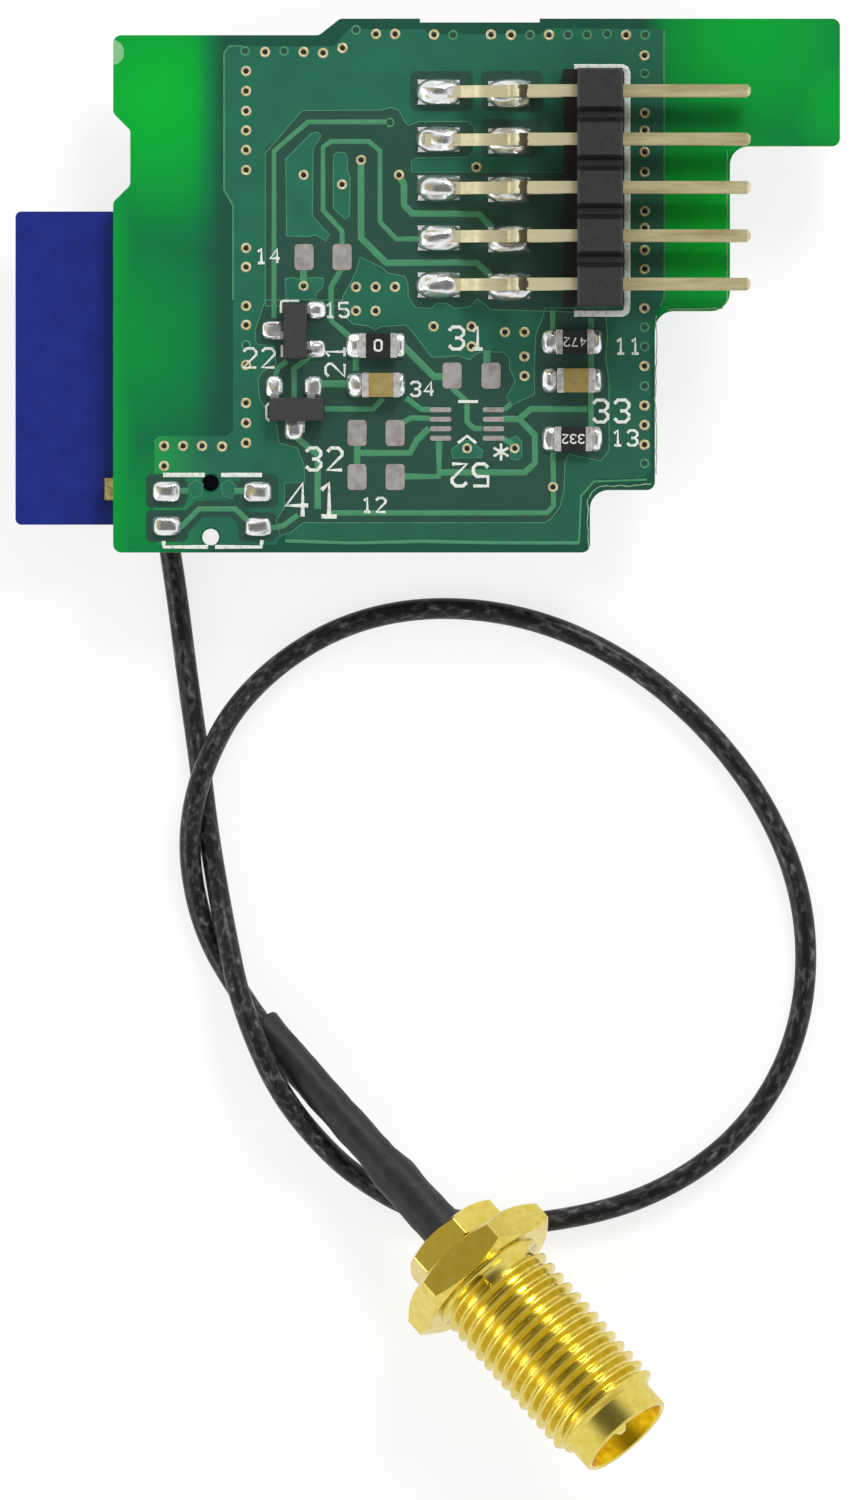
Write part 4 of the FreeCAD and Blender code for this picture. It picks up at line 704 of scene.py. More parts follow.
def jacket_material(look):
    """Thin extruded jacket: the braid under it shows as a faint ripple, with broken glints painted
    on as pale highlights.
    """
    made, tree = new_material("extruded_cable_jacket", Roughness=0.34, Specular_IOR_Level=0.25)
    uv = add_node(tree, "ShaderNodeTexCoord").outputs["UV"]
    split = add_node(tree, "ShaderNodeSeparateXYZ", {"Vector": uv})
    along = add_node(tree, "ShaderNodeMath", {0: split.outputs["X"], 1: BRAID_ALONG},
                     operation="MULTIPLY")
    waves = []
    for lean in (BRAID_ROUND, -BRAID_ROUND):
        slant = add_node(tree, "ShaderNodeMath", {0: split.outputs["Y"], 1: lean,
                         2: along.outputs["Value"]}, operation="MULTIPLY_ADD")
        turns = add_node(tree, "ShaderNodeMath", {0: slant.outputs["Value"], 1: 2 * math.pi},
                         operation="MULTIPLY")
        wave = add_node(tree, "ShaderNodeMath", {0: turns.outputs["Value"]}, operation="SINE")
        waves.append(wave.outputs["Value"])
    drawn = add_node(tree, "ShaderNodeMapping", {"Vector": uv, "Scale": (BRAID_ALONG, 9.0, 1.0)})
    glint = add_node(tree, "ShaderNodeTexNoise", {"Vector": drawn.outputs["Vector"], "Scale": 1.0,
                     "Detail": 4.0, "Roughness": 0.65})
    high = add_node(tree, "ShaderNodeMath", {0: strongest(tree, waves), 1: 0.06,
                    2: glint.outputs["Fac"]}, operation="MULTIPLY_ADD").outputs["Value"]
    # The pale stops are painted highlights: broken glints along the jacket, over the braid's faint
    # ripple.
    coloured_by(tree, high, [(0.52, look.jacket), (0.66, hex_colour("#4a4a4c")),
                             (0.76, hex_colour("#77777a"))])
    bumped(tree, high, 0.03, 0.6)
    return made


def finish_nodes(material, *names):
    """Gives CAD nodes their material."""
    for name in names:
        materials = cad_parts[name].data.materials
        materials.clear()
        materials.append(material)


def new_piece(name, bm, material, smooth=True, replaces=()):
    """Finished piece of a bmesh: linked, shaded, riding on the module."""
    mesh = bpy.data.meshes.new(name)
    bmesh.ops.recalc_face_normals(bm, faces=bm.faces)
    bm.to_mesh(mesh)
    bm.free()
    mesh.materials.append(material)
    for face in mesh.polygons:
        face.use_smooth = smooth
    made = bpy.data.objects.new(name, mesh)
    bpy.context.scene.collection.objects.link(made)
    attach(made, "root")
    if replaces:
        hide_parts(*replaces)
    return made


def line_into(bm, points, width, flatten, height):
    """Adds a line of straight runs with a round section, pressed flat onto a height."""
    curve = bpy.data.curves.new("line", "CURVE")
    curve.dimensions = "3D"
    curve.bevel_depth = width / 2
    curve.bevel_resolution = 2
    curve.use_fill_caps = True
    spline = curve.splines.new("POLY")
    spline.points.add(len(points) - 1)
    for target, point in zip(spline.points, points):
        target.co = (point.x, point.y, 0.0, 1.0)
    temporary = bpy.data.objects.new("line", curve)
    bpy.context.scene.collection.objects.link(temporary)
    mesh = bpy.data.meshes.new_from_object(temporary)
    bpy.data.objects.remove(temporary)
    bpy.data.curves.remove(curve)
    mesh.transform(Matrix.Translation((0, 0, height)) @ Matrix.Diagonal((1, 1, flatten, 1)))
    bm.from_mesh(mesh)
    bpy.data.meshes.remove(mesh)


def plate_into(bm, outline, low, high, holes=()):
    """Adds a flat plate with the given outline and round holes of (centre, radius)."""
    loops = [[bm.verts.new((p.x, p.y, low)) for p in outline]]
    for centre, radius in holes:
        turns = (2 * math.pi * i / 28 for i in range(28))
        loops.append([bm.verts.new((centre.x + radius * math.cos(turn),
                                    centre.y + radius * math.sin(turn), low))
                      for turn in turns])
    rim = [bm.edges.new((loop[i - 1], loop[i])) for loop in loops for i in range(len(loop))]
    filled = bmesh.ops.triangle_fill(bm, use_beauty=True, edges=rim, normal=(0, 0, 1))
    faces = [f for f in filled["geom"] if isinstance(f, bmesh.types.BMFace)]
    grown = bmesh.ops.extrude_face_region(bm, geom=faces)
    raised = [v for v in grown["geom"] if isinstance(v, bmesh.types.BMVert)]
    bmesh.ops.translate(bm, verts=raised, vec=(0, 0, high - low))


def disc_into(bm, centre, radius, low, high):
    """Adds a short upright cylinder."""
    made = bmesh.ops.create_cone(bm, cap_ends=True, segments=14, radius1=radius,
                                 radius2=radius, depth=high - low)
    bmesh.ops.translate(bm, verts=made["verts"], vec=(centre.x, centre.y, (low + high) / 2))


def ring_into(bm, centre, inner, outer, low, high):
    """Adds a low ring with a rounded top, as a plated annulus has."""
    section = []
    for radius, z in ((inner, low), (inner, high), ((inner + 3 * outer) / 4, high),
                      (outer, low)):
        section.append(bm.verts.new((centre.x + radius, centre.y, z)))
    edges = [bm.edges.new((section[i], section[(i + 1) % 4])) for i in range(4)]
    bmesh.ops.spin(bm, geom=section + edges, cent=(centre.x, centre.y, 0), axis=(0, 0, 1),
                   angle=2 * math.pi, steps=20, use_merge=True)


def mounds_into(bm, mounds):
    """Adds blobs of solder: low domes with uneven sides that ran out to their pads' corners."""
    for number, (grid_x, grid_y, half_long, half_wide, high, square) in enumerate(mounds, 1):
        made = bmesh.ops.create_icosphere(bm, subdivisions=4, radius=1.0)
        for vert in made["verts"]:
            x, y, z = vert.co
            # Every mound takes its lumps from another place of the noise.
            shift = noise.noise(vert.co * 1.6 + Vector((number * 7.3, number * 3.1, 0.0)))
            x = math.copysign(abs(x) ** square, x)
            y = math.copysign(abs(y) ** square, y)
            z = max(z, -0.2) * (1 + 0.22 * shift)
            spread = (1 + 0.05 * shift) * GRID
            vert.co = (x * half_long * spread, y * half_wide * spread, z * high * MM)
        centre = grid_point(grid_x, grid_y)
        bmesh.ops.translate(bm, verts=made["verts"], vec=(centre.x, centre.y, BOARD_TOP))


def digits_into(bm, text, centre, high, turn, width, flatten, height):
    """Adds plotted digits round a centre, in metres."""
    scale = high / DIGIT_HIGH
    step = DIGIT_WIDE + DIGIT_GAP
    span = len(text) * step - DIGIT_GAP
    spin = Matrix.Rotation(math.radians(turn), 3, "Z")
    for index, digit in enumerate(text):
        left = index * step - span / 2
        for stroke in DIGITS[digit]:
            points = [Vector((left + x, y - DIGIT_HIGH / 2, 0)) * scale for x, y in stroke]
            line_into(bm, [centre + spin @ point for point in points], width, flatten, height)


def tail_matrix():
    """Frame of the cable's far end: X along its last run, from the sleeve's start."""
    end = Vector(CABLE_ROUTE[-1])
    bend = Vector(CABLE_ROUTE[-3])
    along = (end - bend).normalized()
    heading = math.atan2(along.y, along.x)
    tilt = math.asin(along.z)
    start = bend - along * SLEEVE_LEAD * MM
    turn = Matrix.Rotation(heading, 4, "Z") @ Matrix.Rotation(-tilt, 4, "Y")
    return Matrix.Translation(start) @ turn


def lathe_into(bm, profile, segments=96):
    """Adds a closed turned solid: profile of (along, radius) in millimetres, about X."""
    verts = [bm.verts.new((x * MM, 0, r * MM)) for x, r in profile]
    edges = [bm.edges.new((verts[i - 1], verts[i])) for i in range(len(verts))]
    bmesh.ops.spin(bm, geom=verts + edges, cent=(0, 0, 0), axis=(1, 0, 0), angle=2 * math.pi,
                   steps=segments, use_merge=True)


def hexagon_into(bm, start, end, flats, turn):
    """Adds a hexagon nut form whose end corners are turned off by a 30 degree cone."""
    reach = flats / 2
    turned = reach * 0.985
    rings = []
    for x, side, round_edge in ((start, 1, True), (start, 1, False), (end, -1, False),
                                (end, -1, True)):
        made = bmesh.ops.create_circle(bm, cap_ends=round_edge, segments=72, radius=1.0)
        for vert in made["verts"]:
            angle = math.atan2(vert.co.y, vert.co.x)
            corner = reach / math.cos(angle % (math.pi / 3) - math.pi / 6)
            radius = turned if round_edge else corner
            chamfer = (corner - turned) * math.tan(math.radians(30))
            along = x if round_edge else x + side * chamfer
            angle += math.radians(turn)
            vert.co = Vector((along, radius * math.cos(angle), radius * math.sin(angle))) * MM
        rings.append(list(dict.fromkeys(e for vert in made["verts"] for e in vert.link_edges)))
    for ring_a, ring_b in zip(rings, rings[1:]):
        bmesh.ops.bridge_loops(bm, edges=ring_a + ring_b)
    corners = [e for e in bm.edges if e.calc_length() > (end - start) * 0.5 * MM
               and min(v.co.yz.length for v in e.verts) > reach * 1.15 * MM
               and start * MM < min(v.co.x for v in e.verts) < end * MM]
    bmesh.ops.bevel(bm, geom=corners, offset=0.06 * MM, segments=2, profile=0.5, affect="EDGES")


class RADIOMODULE_OT_camera(bpy.types.Operator):
    """Sets the camera straight above the module"""

    bl_idname = "radio_module.camera"
    bl_label = "Add the camera"

    def execute(self, context):
        look = context.scene.radio_module.stage
        data = bpy.data.cameras.new("camera")
        data.lens = look.lens
        data.sensor_width = 36.0
        data.clip_start = 0.01
        data.clip_end = 10.0
        made = bpy.data.objects.new("camera", data)
        made.location = (*CAMERA_OVER, BOARD_TOP + look.distance)
        context.scene.collection.objects.link(made)
        context.scene.camera = made
        return {"FINISHED"}


class RADIOMODULE_OT_cable(bpy.types.Operator):
    """Adds the aerial cable along its route"""

    bl_idname = "radio_module.cable"
    bl_label = "Add the aerial cable"

    def execute(self, context):
        look = context.scene.radio_module.cable
        curve = bpy.data.curves.new("aerial_cable", "CURVE")
        curve.dimensions = "3D"
        curve.resolution_u = 14
        curve.bevel_depth = look.diameter / 2
        curve.bevel_resolution = 5
        curve.use_fill_caps = True
        spline = curve.splines.new("NURBS")
        spline.points.add(len(CABLE_ROUTE) - 1)
        for target, point in zip(spline.points, CABLE_ROUTE):
            target.co = (*point, 1.0)
        spline.order_u = 3
        spline.use_endpoint_u = True
        curve.materials.append(jacket_material(look))
        made = bpy.data.objects.new("aerial_cable", curve)
        context.scene.collection.objects.link(made)
        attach(made, "root")
        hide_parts("coax_cable")
        return {"FINISHED"}


def add_copper(look):
    """The copper pour, which leaves the peg holes free."""
    rise = look.copper_height
    bm = bmesh.new()
    pegs = [(grid_point(x, y), PEG_CLEARING) for x, y in PEG_HOLES]
    plate_into(bm, on_board(reversed(POUR)), BOARD_TOP - rise, BOARD_TOP + rise, pegs)
    copper = mask_material("green_mask_on_copper", look.copper_tone, hex_colour("#1f6e54"))
    fade_pour(copper.node_tree)
    new_piece("board_copper", bm, copper, smooth=False)


def add_clearings(look):
    """Openings in the pour, the channels beside the traces, and the covered vias' middles."""
    rise = look.copper_height
    bm = bmesh.new()
    cut = CLEARING_CORNER
    boxes = [[(left + cut, low), (right - cut, low), (right, low - cut), (right, high + cut),
              (right - cut, high), (left + cut, high), (left, high + cut), (left, low - cut)]
             for left, high, right, low in PAD_CLEARINGS]
    for index, points in enumerate(boxes + [points[::-1] for points in WIDE_CLEARINGS]):
        plate_into(bm, on_board(points), BOARD_TOP + rise * 0.5,
                   BOARD_TOP + rise * (CLEARING_LAYER + LAYER_STEP * index))
    for x, y in COVERED_VIAS:
        disc_into(bm, grid_point(x, y), COVERED_BORE, BOARD_TOP, BOARD_TOP + rise * VIA_LAYER)
    for index, (width, points) in enumerate(TRACES):
        line_into(bm, on_board(points), width * MM + CHANNEL_WIDTH, 0.01,
                  BOARD_TOP + rise * (CHANNEL_LAYER + LAYER_STEP / 2 * index))
    clearing = mask_material("green_mask_in_clearings", look.clearing_tone,
                             hex_colour("#274f43"))
    new_piece("board_clearings", bm, clearing, smooth=False)


def add_traces(look):
    """Traces, the pour's ridges, and the raised edges of clearings, islands and covered vias."""
    rise = look.copper_height
    bm = bmesh.new()
    for index, (width, points) in enumerate(TRACES):
        line_into(bm, on_board(points), width * MM, 0.06,
                  BOARD_TOP + rise * (TRACE_LAYER + LAYER_STEP * index))
    for width, points in POUR_LINES:
        line_into(bm, on_board(points), width * MM, 0.12, BOARD_TOP + rise * RIDGE_LAYER)
    for points in WIDE_CLEARINGS + ISLANDS:
        line_into(bm, on_board(points + points[:1]), EDGE_WIDTH, 0.2,
                  BOARD_TOP + rise * EDGE_LAYER)
    for x, y in COVERED_VIAS:
        ring_into(bm, grid_point(x, y), COVERED_BORE, COVERED_RING, BOARD_TOP,
                  BOARD_TOP + rise * VIA_RING_LAYER)
    traces = mask_material("green_mask_on_traces", look.trace_tone, hex_colour("#4a946a"),
                           mottle_mm=0.8)
    new_piece("board_traces", bm, traces)


def add_islands(look):
    """Islands of copper inside the clearings."""
    rise = look.copper_height
    bm = bmesh.new()
    for index, points in enumerate(ISLANDS):
        plate_into(bm, on_board(reversed(points)), BOARD_TOP,
                   BOARD_TOP + rise * (ISLAND_LAYER + LAYER_STEP * index))
    islands = mask_material("green_mask_on_islands", look.copper_tone, hex_colour("#24725a"))
    new_piece("board_islands", bm, islands, smooth=False)


def add_frayed_edges(look):
    """Pale glass fibres stand out of the mask where the board was broken from its panel."""
    rise = look.copper_height
    bm = bmesh.new()
    for index, points in enumerate(FRAYED_EDGES):
        line_into(bm, on_board(points), 0.06 * MM, 0.3, BOARD_TOP + rise * (0.6 + 0.1 * index))
    long = [e for e in bm.edges if e.calc_length() > 0.3 * MM]
    bmesh.ops.subdivide_edges(bm, edges=long, cuts=24, use_grid_fill=True)
    for vert in bm.verts:
        vert.co.x += noise.noise(vert.co / MM * 2.3) * 0.07 * MM
        vert.co.y += noise.noise(vert.co / MM * 3.1 + Vector((5, 3, 1))) * 0.05 * MM
    fibres = moulded_material("frayed_glass_cloth", "#4d8e62", "#a9bda0", 0.7, 0.15, 0.01)
    new_piece("board_frayed_edges", bm, fibres)


def add_ink(look):
    """White lines and plain numbers."""
    height = BOARD_TOP + look.copper_height * INK_LAYER
    bm = bmesh.new()
    for width, points in INK_LINES:
        line_into(bm, on_board(points), width * MM, 0.08, height)
    for text, x, y, high, turn in INK_NUMBERS:
        # Larger numbers are drawn with a wider pen.
        pen = 0.15 if high < 20 else 0.19 if high < 30 else 0.24
        digits_into(bm, text, grid_point(x, y), high * GRID, turn, pen * MM, 0.10, height)
    new_piece("board_ink", bm, ink_material())


class RADIOMODULE_OT_artwork(bpy.types.Operator):
    """Adds the copper, clearings, traces and white ink of the main board"""

    bl_idname = "radio_module.artwork"
    bl_label = "Add the board artwork"

    def execute(self, context):
        look = context.scene.radio_module.board
        finish_nodes(laminate_material(look), "main_board")
        add_copper(look)
        add_clearings(look)
        add_traces(look)
        add_islands(look)
        add_frayed_edges(look)
        add_ink(look)
        return {"FINISHED"}


class RADIOMODULE_OT_vias(bpy.types.Operator):
    """Adds the plated holes on both faces of the main board"""

    bl_idname = "radio_module.vias"
    bl_label = "Add the vias"

    def execute(self, context):
        look = context.scene.radio_module.board
        rise = look.copper_height
        inner, outer = look.hole_width / 2, look.ring_width / 2
        # A little wider than the ring's bore, so that no gap shows between them.
        plug = inner * 1.02
        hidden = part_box("radio_board")
        rings, holes = bmesh.new(), bmesh.new()
        for x, y in OPEN_VIAS:
            centre = grid_point(x, y)
            ring_into(rings, centre, inner, outer, BOARD_TOP, BOARD_TOP + rise * OPEN_RING_LAYER)
            disc_into(holes, centre, plug, BOARD_TOP, BOARD_TOP + rise * OPEN_HOLE_LAYER)
            covered = (hidden[0].x - outer < centre.x < hidden[1].x + outer
                       and hidden[0].y - outer < centre.y < hidden[1].y + outer)
            if not covered:
                ring_into(rings, centre, inner, outer, BOARD_UNDER,
                          BOARD_UNDER - rise * UNDER_RING_LAYER)
                disc_into(holes, centre, plug, BOARD_UNDER - rise * UNDER_HOLE_LAYER,
                          BOARD_UNDER)
        # Immersion gold on the rings: pale and soft, a little uneven at this size.
        ring = metal_material("immersion_gold_rings", hex_colour("#e2dab4"), hex_colour("#a5965f"),
                              0.5, 0.25, 0.003, metallic=0.2)
        new_piece("via_rings", rings, ring)
        # The bore of a plated hole is so deep for its width that it shows black.
        dark = moulded_material("shaded_hole", "#0c0d09", "#1b1b12", 0.8, 0.2, 0.002)
        new_piece("via_holes", holes, dark)
        return {"FINISHED"}


class RADIOMODULE_OT_solder(bpy.types.Operator):
    """Adds the solder on the header, the chips and the push-button pads"""

    bl_idname = "radio_module.solder"
    bl_label = "Add the solder"

    def execute(self, context):
        look = context.scene.radio_module.metal
        # Reflowed tin solder: bright, with smooth folds that mirror the room.
        solder = metal_material("reflowed_tin_solder", look.solder, hex_colour("#dcdddd"), 0.17,
                                0.45, 0.05, metallic=0.95)
        # Joints of the chips and transistors: the same tin, painted lighter as a stand-in for their
        # brighter highlights.
        solder_painted_lighter = metal_material("tin_solder_painted_lighter", hex_colour("#fbfcfe"), hex_colour("#eceef0"),
                               0.17, 0.45, 0.05, metallic=0.9)
        for name, mounds, node, tin in (
                ("header_solder_blobs", TOE_SOLDER + HEEL_SOLDER, "header_solder", solder),
                ("part_solder_blobs", PART_SOLDER, "chip_solder", solder_painted_lighter),
                ("button_solder_domes", BUTTON_SOLDER, "button_solder", solder)):
            bm = bmesh.new()
            mounds_into(bm, mounds)
            new_piece(name, bm, tin, replaces=(node,))
        finish_nodes(solder_painted_lighter, "transistor_1_leads", "transistor_2_leads")
        finish_nodes(solder, "radio_board_solder")
        # Tin that dried on the chips' ends: frosted, with small pits.
        frosted = metal_material("frosted_tin_ends", hex_colour("#dedcd8"), hex_colour("#9b9894"),
                                 0.42, 0.3, 0.03, metallic=0.4)
        finish_nodes(frosted, "jumper_ends", "capacitor_1_ends", "capacitor_2_ends",
                     "resistor_1_ends", "resistor_2_ends")
        bm = bmesh.new()
        for x, y, *_ in TOE_SOLDER + HEEL_SOLDER:
            corners = on_board((x + dx, y + dy) for dx, dy in PAD_CORNERS)
            plate_into(bm, corners, BOARD_TOP, BOARD_TOP + PAD_TIN)
        # Tin that ran out to the pads' corners in thin bright points.
        thin = metal_material("thin_bright_tin", hex_colour("#efeeec"), hex_colour("#c9c8c5"), 0.4,
                              0.2, 0.01, metallic=0.3)
        new_piece("header_pad_tin", bm, thin)
        # Levelled tin on the empty pads: flat, grey and blotched.
        levelled = metal_material("levelled_tin", hex_colour("#bdb7b4"), hex_colour("#8f8886"),
                                  0.5, 0.45, 0.006, metallic=0.4, stretch=(1, 0.7, 1))
        finish_nodes(levelled, "bare_pads")
        return {"FINISHED"}


class RADIOMODULE_OT_parts(bpy.types.Operator):
    """Finishes the header, the chips and the transistors, and adds the chips' numbers"""

    bl_idname = "radio_module.parts"
    bl_label = "Finish the small parts"

    def execute(self, context):
        look = context.scene.radio_module.metal
        # Glass-filled header plastic: near black, matte, with a fine moulded grain.
        block = moulded_material("glass_filled_header_plastic", "#212122", "#303032", 0.5, 0.25,
                                 0.006)
        paint_shade_in_recesses(block.node_tree)
        finish_nodes(block, "header_body")
        # Thin gold flash on drawn brass wire: pale, streaked along the wire.
        wire = metal_material("gold_flashed_pin", look.pin, hex_colour("#a79c70"), 0.38, 0.4,
                              0.005, metallic=0.45, stretch=(0.15, 1, 1))
        tin_pins_and_shade_bends(wire.node_tree)
        finish_nodes(wire, *(f"{row}_pin_{number}" for row in ("upper", "lower")
                             for number in range(1, 6)))
        # Epoxy packages: dark grey and matte. Resistor glaze: black with a soft shine.
        package = moulded_material("moulded_epoxy_package", "#29292a", "#383839", 0.62, 0.12,
                                   0.006)
        finish_nodes(package, "radio_chip", "amplifier_chip", "transistor_1_body",
                     "transistor_2_body")
        glaze = moulded_material("black_resistor_glaze", "#1d1d1e", "#2c2c2e", 0.34, 0.3, 0.004)
        finish_nodes(glaze, "jumper_body", "resistor_1_body", "resistor_2_body")
        # Fired ceramic: tan and faintly speckled.
        ceramic = moulded_material("fired_capacitor_ceramic", "#8f7a42", "#a8955c", 0.42, 0.4,
                                   0.004)
        finish_nodes(ceramic, "capacitor_1_body", "capacitor_2_body")

        bm = bmesh.new()
        for node, text, turn, high, pen, flatten in CHIP_NUMBERS:
            low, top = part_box(node)
            middle = (low + top) / 2
            digits_into(bm, text, Vector((middle.x, middle.y, 0)), high * MM, turn, pen * MM,
                        flatten, top.z)
        new_piece("chip_numbers", bm, ink_material())
        return {"FINISHED"}


def castellations_into(bm):
    """Adds the pads under the radio board, one at each half hole of its long edges."""
    low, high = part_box("radio_board")
    for edge_y, inward in ((low.y, 1), (high.y, -1)):
        near = edge_y + inward * PAD_NEAR
        far = edge_y + inward * PAD_FAR
        for number in range(PADS_A_SIDE):
            x = low.x + FIRST_PAD + PAD_PITCH * number
            left, right = x - PAD_WIDTH / 2, x + PAD_WIDTH / 2
            outline = [Vector((left, near, 0)), Vector((right, near, 0)),
                       Vector((right, far, 0)), Vector((left, far, 0))]
            plate_into(bm, outline, low.z - PAD_DEPTH / 2, low.z + PAD_DEPTH / 2)


class RADIOMODULE_OT_radio(bpy.types.Operator):
    """Finishes the radio board, its shield can, receptacle and plug"""

    bl_idname = "radio_module.radio"
    bl_label = "Finish the radio board"

    def execute(self, context):
        look = context.scene.radio_module.metal
        finish_nodes(blue_mask_material(), "radio_board")
        # Tinned sheet: satin, with faint rolling marks along the can.
        tin = metal_material("tinned_sheet", hex_colour("#c9cacb"), hex_colour("#aeb0b2"), 0.32,
                             0.8, 0.004, metallic=0.9, stretch=(0.2, 1, 1))
        finish_nodes(tin, "shield_can", "crystal")
        finish_nodes(fluoropolymer_material("white_fluoropolymer"), "receptacle_base",
                     "plug_insulator")
        # Gold plating on stamped brass: warm, with a soft mirror.
        gold = metal_material("gold_plated_brass", look.gold, hex_colour("#dfba38"), 0.2, 0.6,
                              0.003)
        finish_nodes(gold, "receptacle_shell", "receptacle_contact", "plug_shell")
        bm = bmesh.new()
        castellations_into(bm)
        # Immersion gold on flat copper pads: pale gold with a satin shine.
        pads = metal_material("immersion_gold_pads", hex_colour("#d8c478"), hex_colour("#b8a45c"),
                              0.35, 0.3, 0.003, metallic=0.8)
        new_piece("radio_board_pads", bm, pads, smooth=False)
        return {"FINISHED"}


def sleeve_into(bm):
    """Adds the shrunk sleeve: a thin tube that widens over the ferrule, a little uneven."""
    profile = []
    for (x0, r0), (x1, r1) in zip(SLEEVE_OUTER, SLEEVE_OUTER[1:]):
        steps = max(1, round((x1 - x0) / SLEEVE_RING))
        profile += [(x0 + (x1 - x0) * i / steps, r0 + (r1 - r0) * i / steps)
                    for i in range(steps)]
    lathe_into(bm, profile + SLEEVE_OUTER[-1:] + SLEEVE_INNER, segments=48)
    skin = (max(r for x, r in SLEEVE_INNER) + min(r for x, r in SLEEVE_OUTER)) / 2 * MM
    # The inner surface stays round, and the outer one is a little uneven.
    for vert in bm.verts:
        if vert.co.yz.length > skin:
            place = vert.co / MM
            soft = noise.noise(place * Vector((1.1, 1.4, 1.4)))
            fine = noise.noise(place * Vector((4.0, 3.0, 3.0)))
            vert.co.yz = vert.co.yz * (1 + 0.05 * soft + 0.014 * fine)


class RADIOMODULE_OT_sleeve(bpy.types.Operator):
    """Adds the shrunk sleeve over the cable and the ferrule"""

    bl_idname = "radio_module.sleeve"
    bl_label = "Add the shrink sleeve"

    def execute(self, context):
        bm = bmesh.new()
        sleeve_into(bm)
        bmesh.ops.transform(bm, matrix=tail_matrix(), verts=bm.verts)
        # Shrunk polyolefin: matte black with a soft grey sheen and small handling marks.
        shrunk = moulded_material("shrunk_polyolefin", "#1e1e20", "#2f2f31", 0.5, 0.9, 0.06,
                                  specular=0.25)
        sleeve = new_piece("shrink_sleeve", bm, shrunk,
                           replaces=("heat_shrink_sleeve",))
        return {"FINISHED"}


def barrel_into(bm):
    """Adds the turned barrel: a socket in the hexagons, the flange's face, the mouth and bore."""
    socket = HEX_END - 0.1
    flange = FLANGE_END
    lathe_into(bm, [
        (socket, 2.35), (flange - 0.1, 2.35), (flange - 0.1, 3.25), (flange + 0.12, 3.18),
        (flange + 0.2, 2.75), (RELIEF_END + 0.5, THREAD_ROOT), (THREAD_END - 0.05, THREAD_ROOT),
        (THREAD_END + 0.05, 2.68), (THREAD_END + 0.12, 2.65), (MOUTH_END - 0.12, 2.65),
        (MOUTH_END, 2.55), (MOUTH_END, 2.40), (MOUTH_END - 0.08, MOUTH_RADIUS),
        (MOUTH_END - MOUTH_DEPTH, MOUTH_RADIUS), (MOUTH_END - MOUTH_DEPTH, BORE_RADIUS),
        (MOUTH_END - BORE_DEPTH, BORE_RADIUS), (MOUTH_END - BORE_DEPTH, 0.05), (socket, 0.05)])
    for face in bm.faces:
        middle = face.calc_center_median() / MM
        face.material_index = int(middle.x > MOUTH_END - 5
                                  and middle.yz.length < MOUTH_RADIUS + 0.03)


def thread_into(bm):
    """Adds the thread: a ridge spun along the barrel, which runs out at both of its ends."""
    rise = THREAD_CREST - THREAD_ROOT
    ridge = [(0.0, 0.0), (0.07, 0.0), (0.115, 0.06), (0.15, 0.15), (0.39, 0.86), (0.43, 0.96),
             (0.465, 1.0), (0.535, 1.0), (0.57, 0.96), (0.61, 0.86), (0.85, 0.15), (0.885, 0.06),
             (0.93, 0.0), (1.0, 0.0)]
    verts = [bm.verts.new((along * THREAD_PITCH * MM, 0, (THREAD_ROOT + share * rise) * MM))
             for along, share in ridge]
    edges = [bm.edges.new(pair) for pair in zip(verts, verts[1:])]
    turns = math.floor((THREAD_END - RELIEF_END) / THREAD_PITCH) + 1
    steps = 64
    bmesh.ops.spin(bm, geom=verts + edges, cent=(0, 0, 0), axis=(1, 0, 0),
                   angle=2 * math.pi * turns, steps=steps * turns,
                   dvec=(THREAD_PITCH * MM / steps, 0, 0))
    bmesh.ops.remove_doubles(bm, verts=bm.verts, dist=0.002 * MM)
    for vert in bm.verts:
        vert.co.x += (RELIEF_END - 0.5 * THREAD_PITCH) * MM
        along = vert.co.x / MM
        radius = vert.co.yz.length / MM
        limit = min(THREAD_CREST,
                    THREAD_ROOT - 0.06 + max(0.0, along - RELIEF_END + 0.30) * 2.0,
                    THREAD_ROOT - 0.12 + max(0.0, THREAD_END + 0.22 - along) * 1.6)
        if radius > limit:
            vert.co.yz = vert.co.yz * (limit / radius)
    bmesh.ops.recalc_face_normals(bm, faces=bm.faces)
    bmesh.ops.solidify(bm, geom=bm.faces[:], thickness=0.12 * MM)


class RADIOMODULE_OT_jack(bpy.types.Operator):
    """Adds the threaded jack: hexagons, barrel, mouth and thread"""

    bl_idname = "radio_module.jack"
    bl_label = "Add the threaded jack"

    def execute(self, context):
        look = context.scene.radio_module.metal
        # Bright gold plating over turned brass: a clear mirror with faint tool rings.
        gold = metal_material("bright_gold_plating", look.gold, hex_colour("#d6c150"), 0.2, 0.5,
                              0.002)
        finish_nodes(fluoropolymer_material("jack_fluoropolymer"), "connector_insulator")
        finish_nodes(gold, "connector_pin", "crimp_ferrule")
        tail = tail_matrix()

        bm = bmesh.new()
        hexagon_into(bm, SLEEVE_END, HEX_END, NUT_FLATS, NUT_TURN)
        hexagon_into(bm, FLANGE_START, FLANGE_END, FLANGE_FLATS, FLANGE_TURN)
        bmesh.ops.transform(bm, matrix=tail, verts=bm.verts)
        new_piece("jack_hexagons", bm, gold, smooth=False)

        bm = bmesh.new()
        barrel_into(bm)
        bmesh.ops.transform(bm, matrix=tail, verts=bm.verts)
        # In the mouth light meets the plating twice and comes back deeper and warmer.
        shaded = metal_material("gold_plating_in_the_mouth", hex_colour("#efc21a"),
                                hex_colour("#cf9b08"), 0.3, 0.5, 0.002)
        barrel = new_piece("jack_barrel", bm, gold, replaces=("connector_body",))
        barrel.data.materials.append(shaded)

        bm = bmesh.new()
        thread_into(bm)
        bmesh.ops.transform(bm, matrix=tail, verts=bm.verts)
        new_piece("jack_thread", bm, gold)
        return {"FINISHED"}


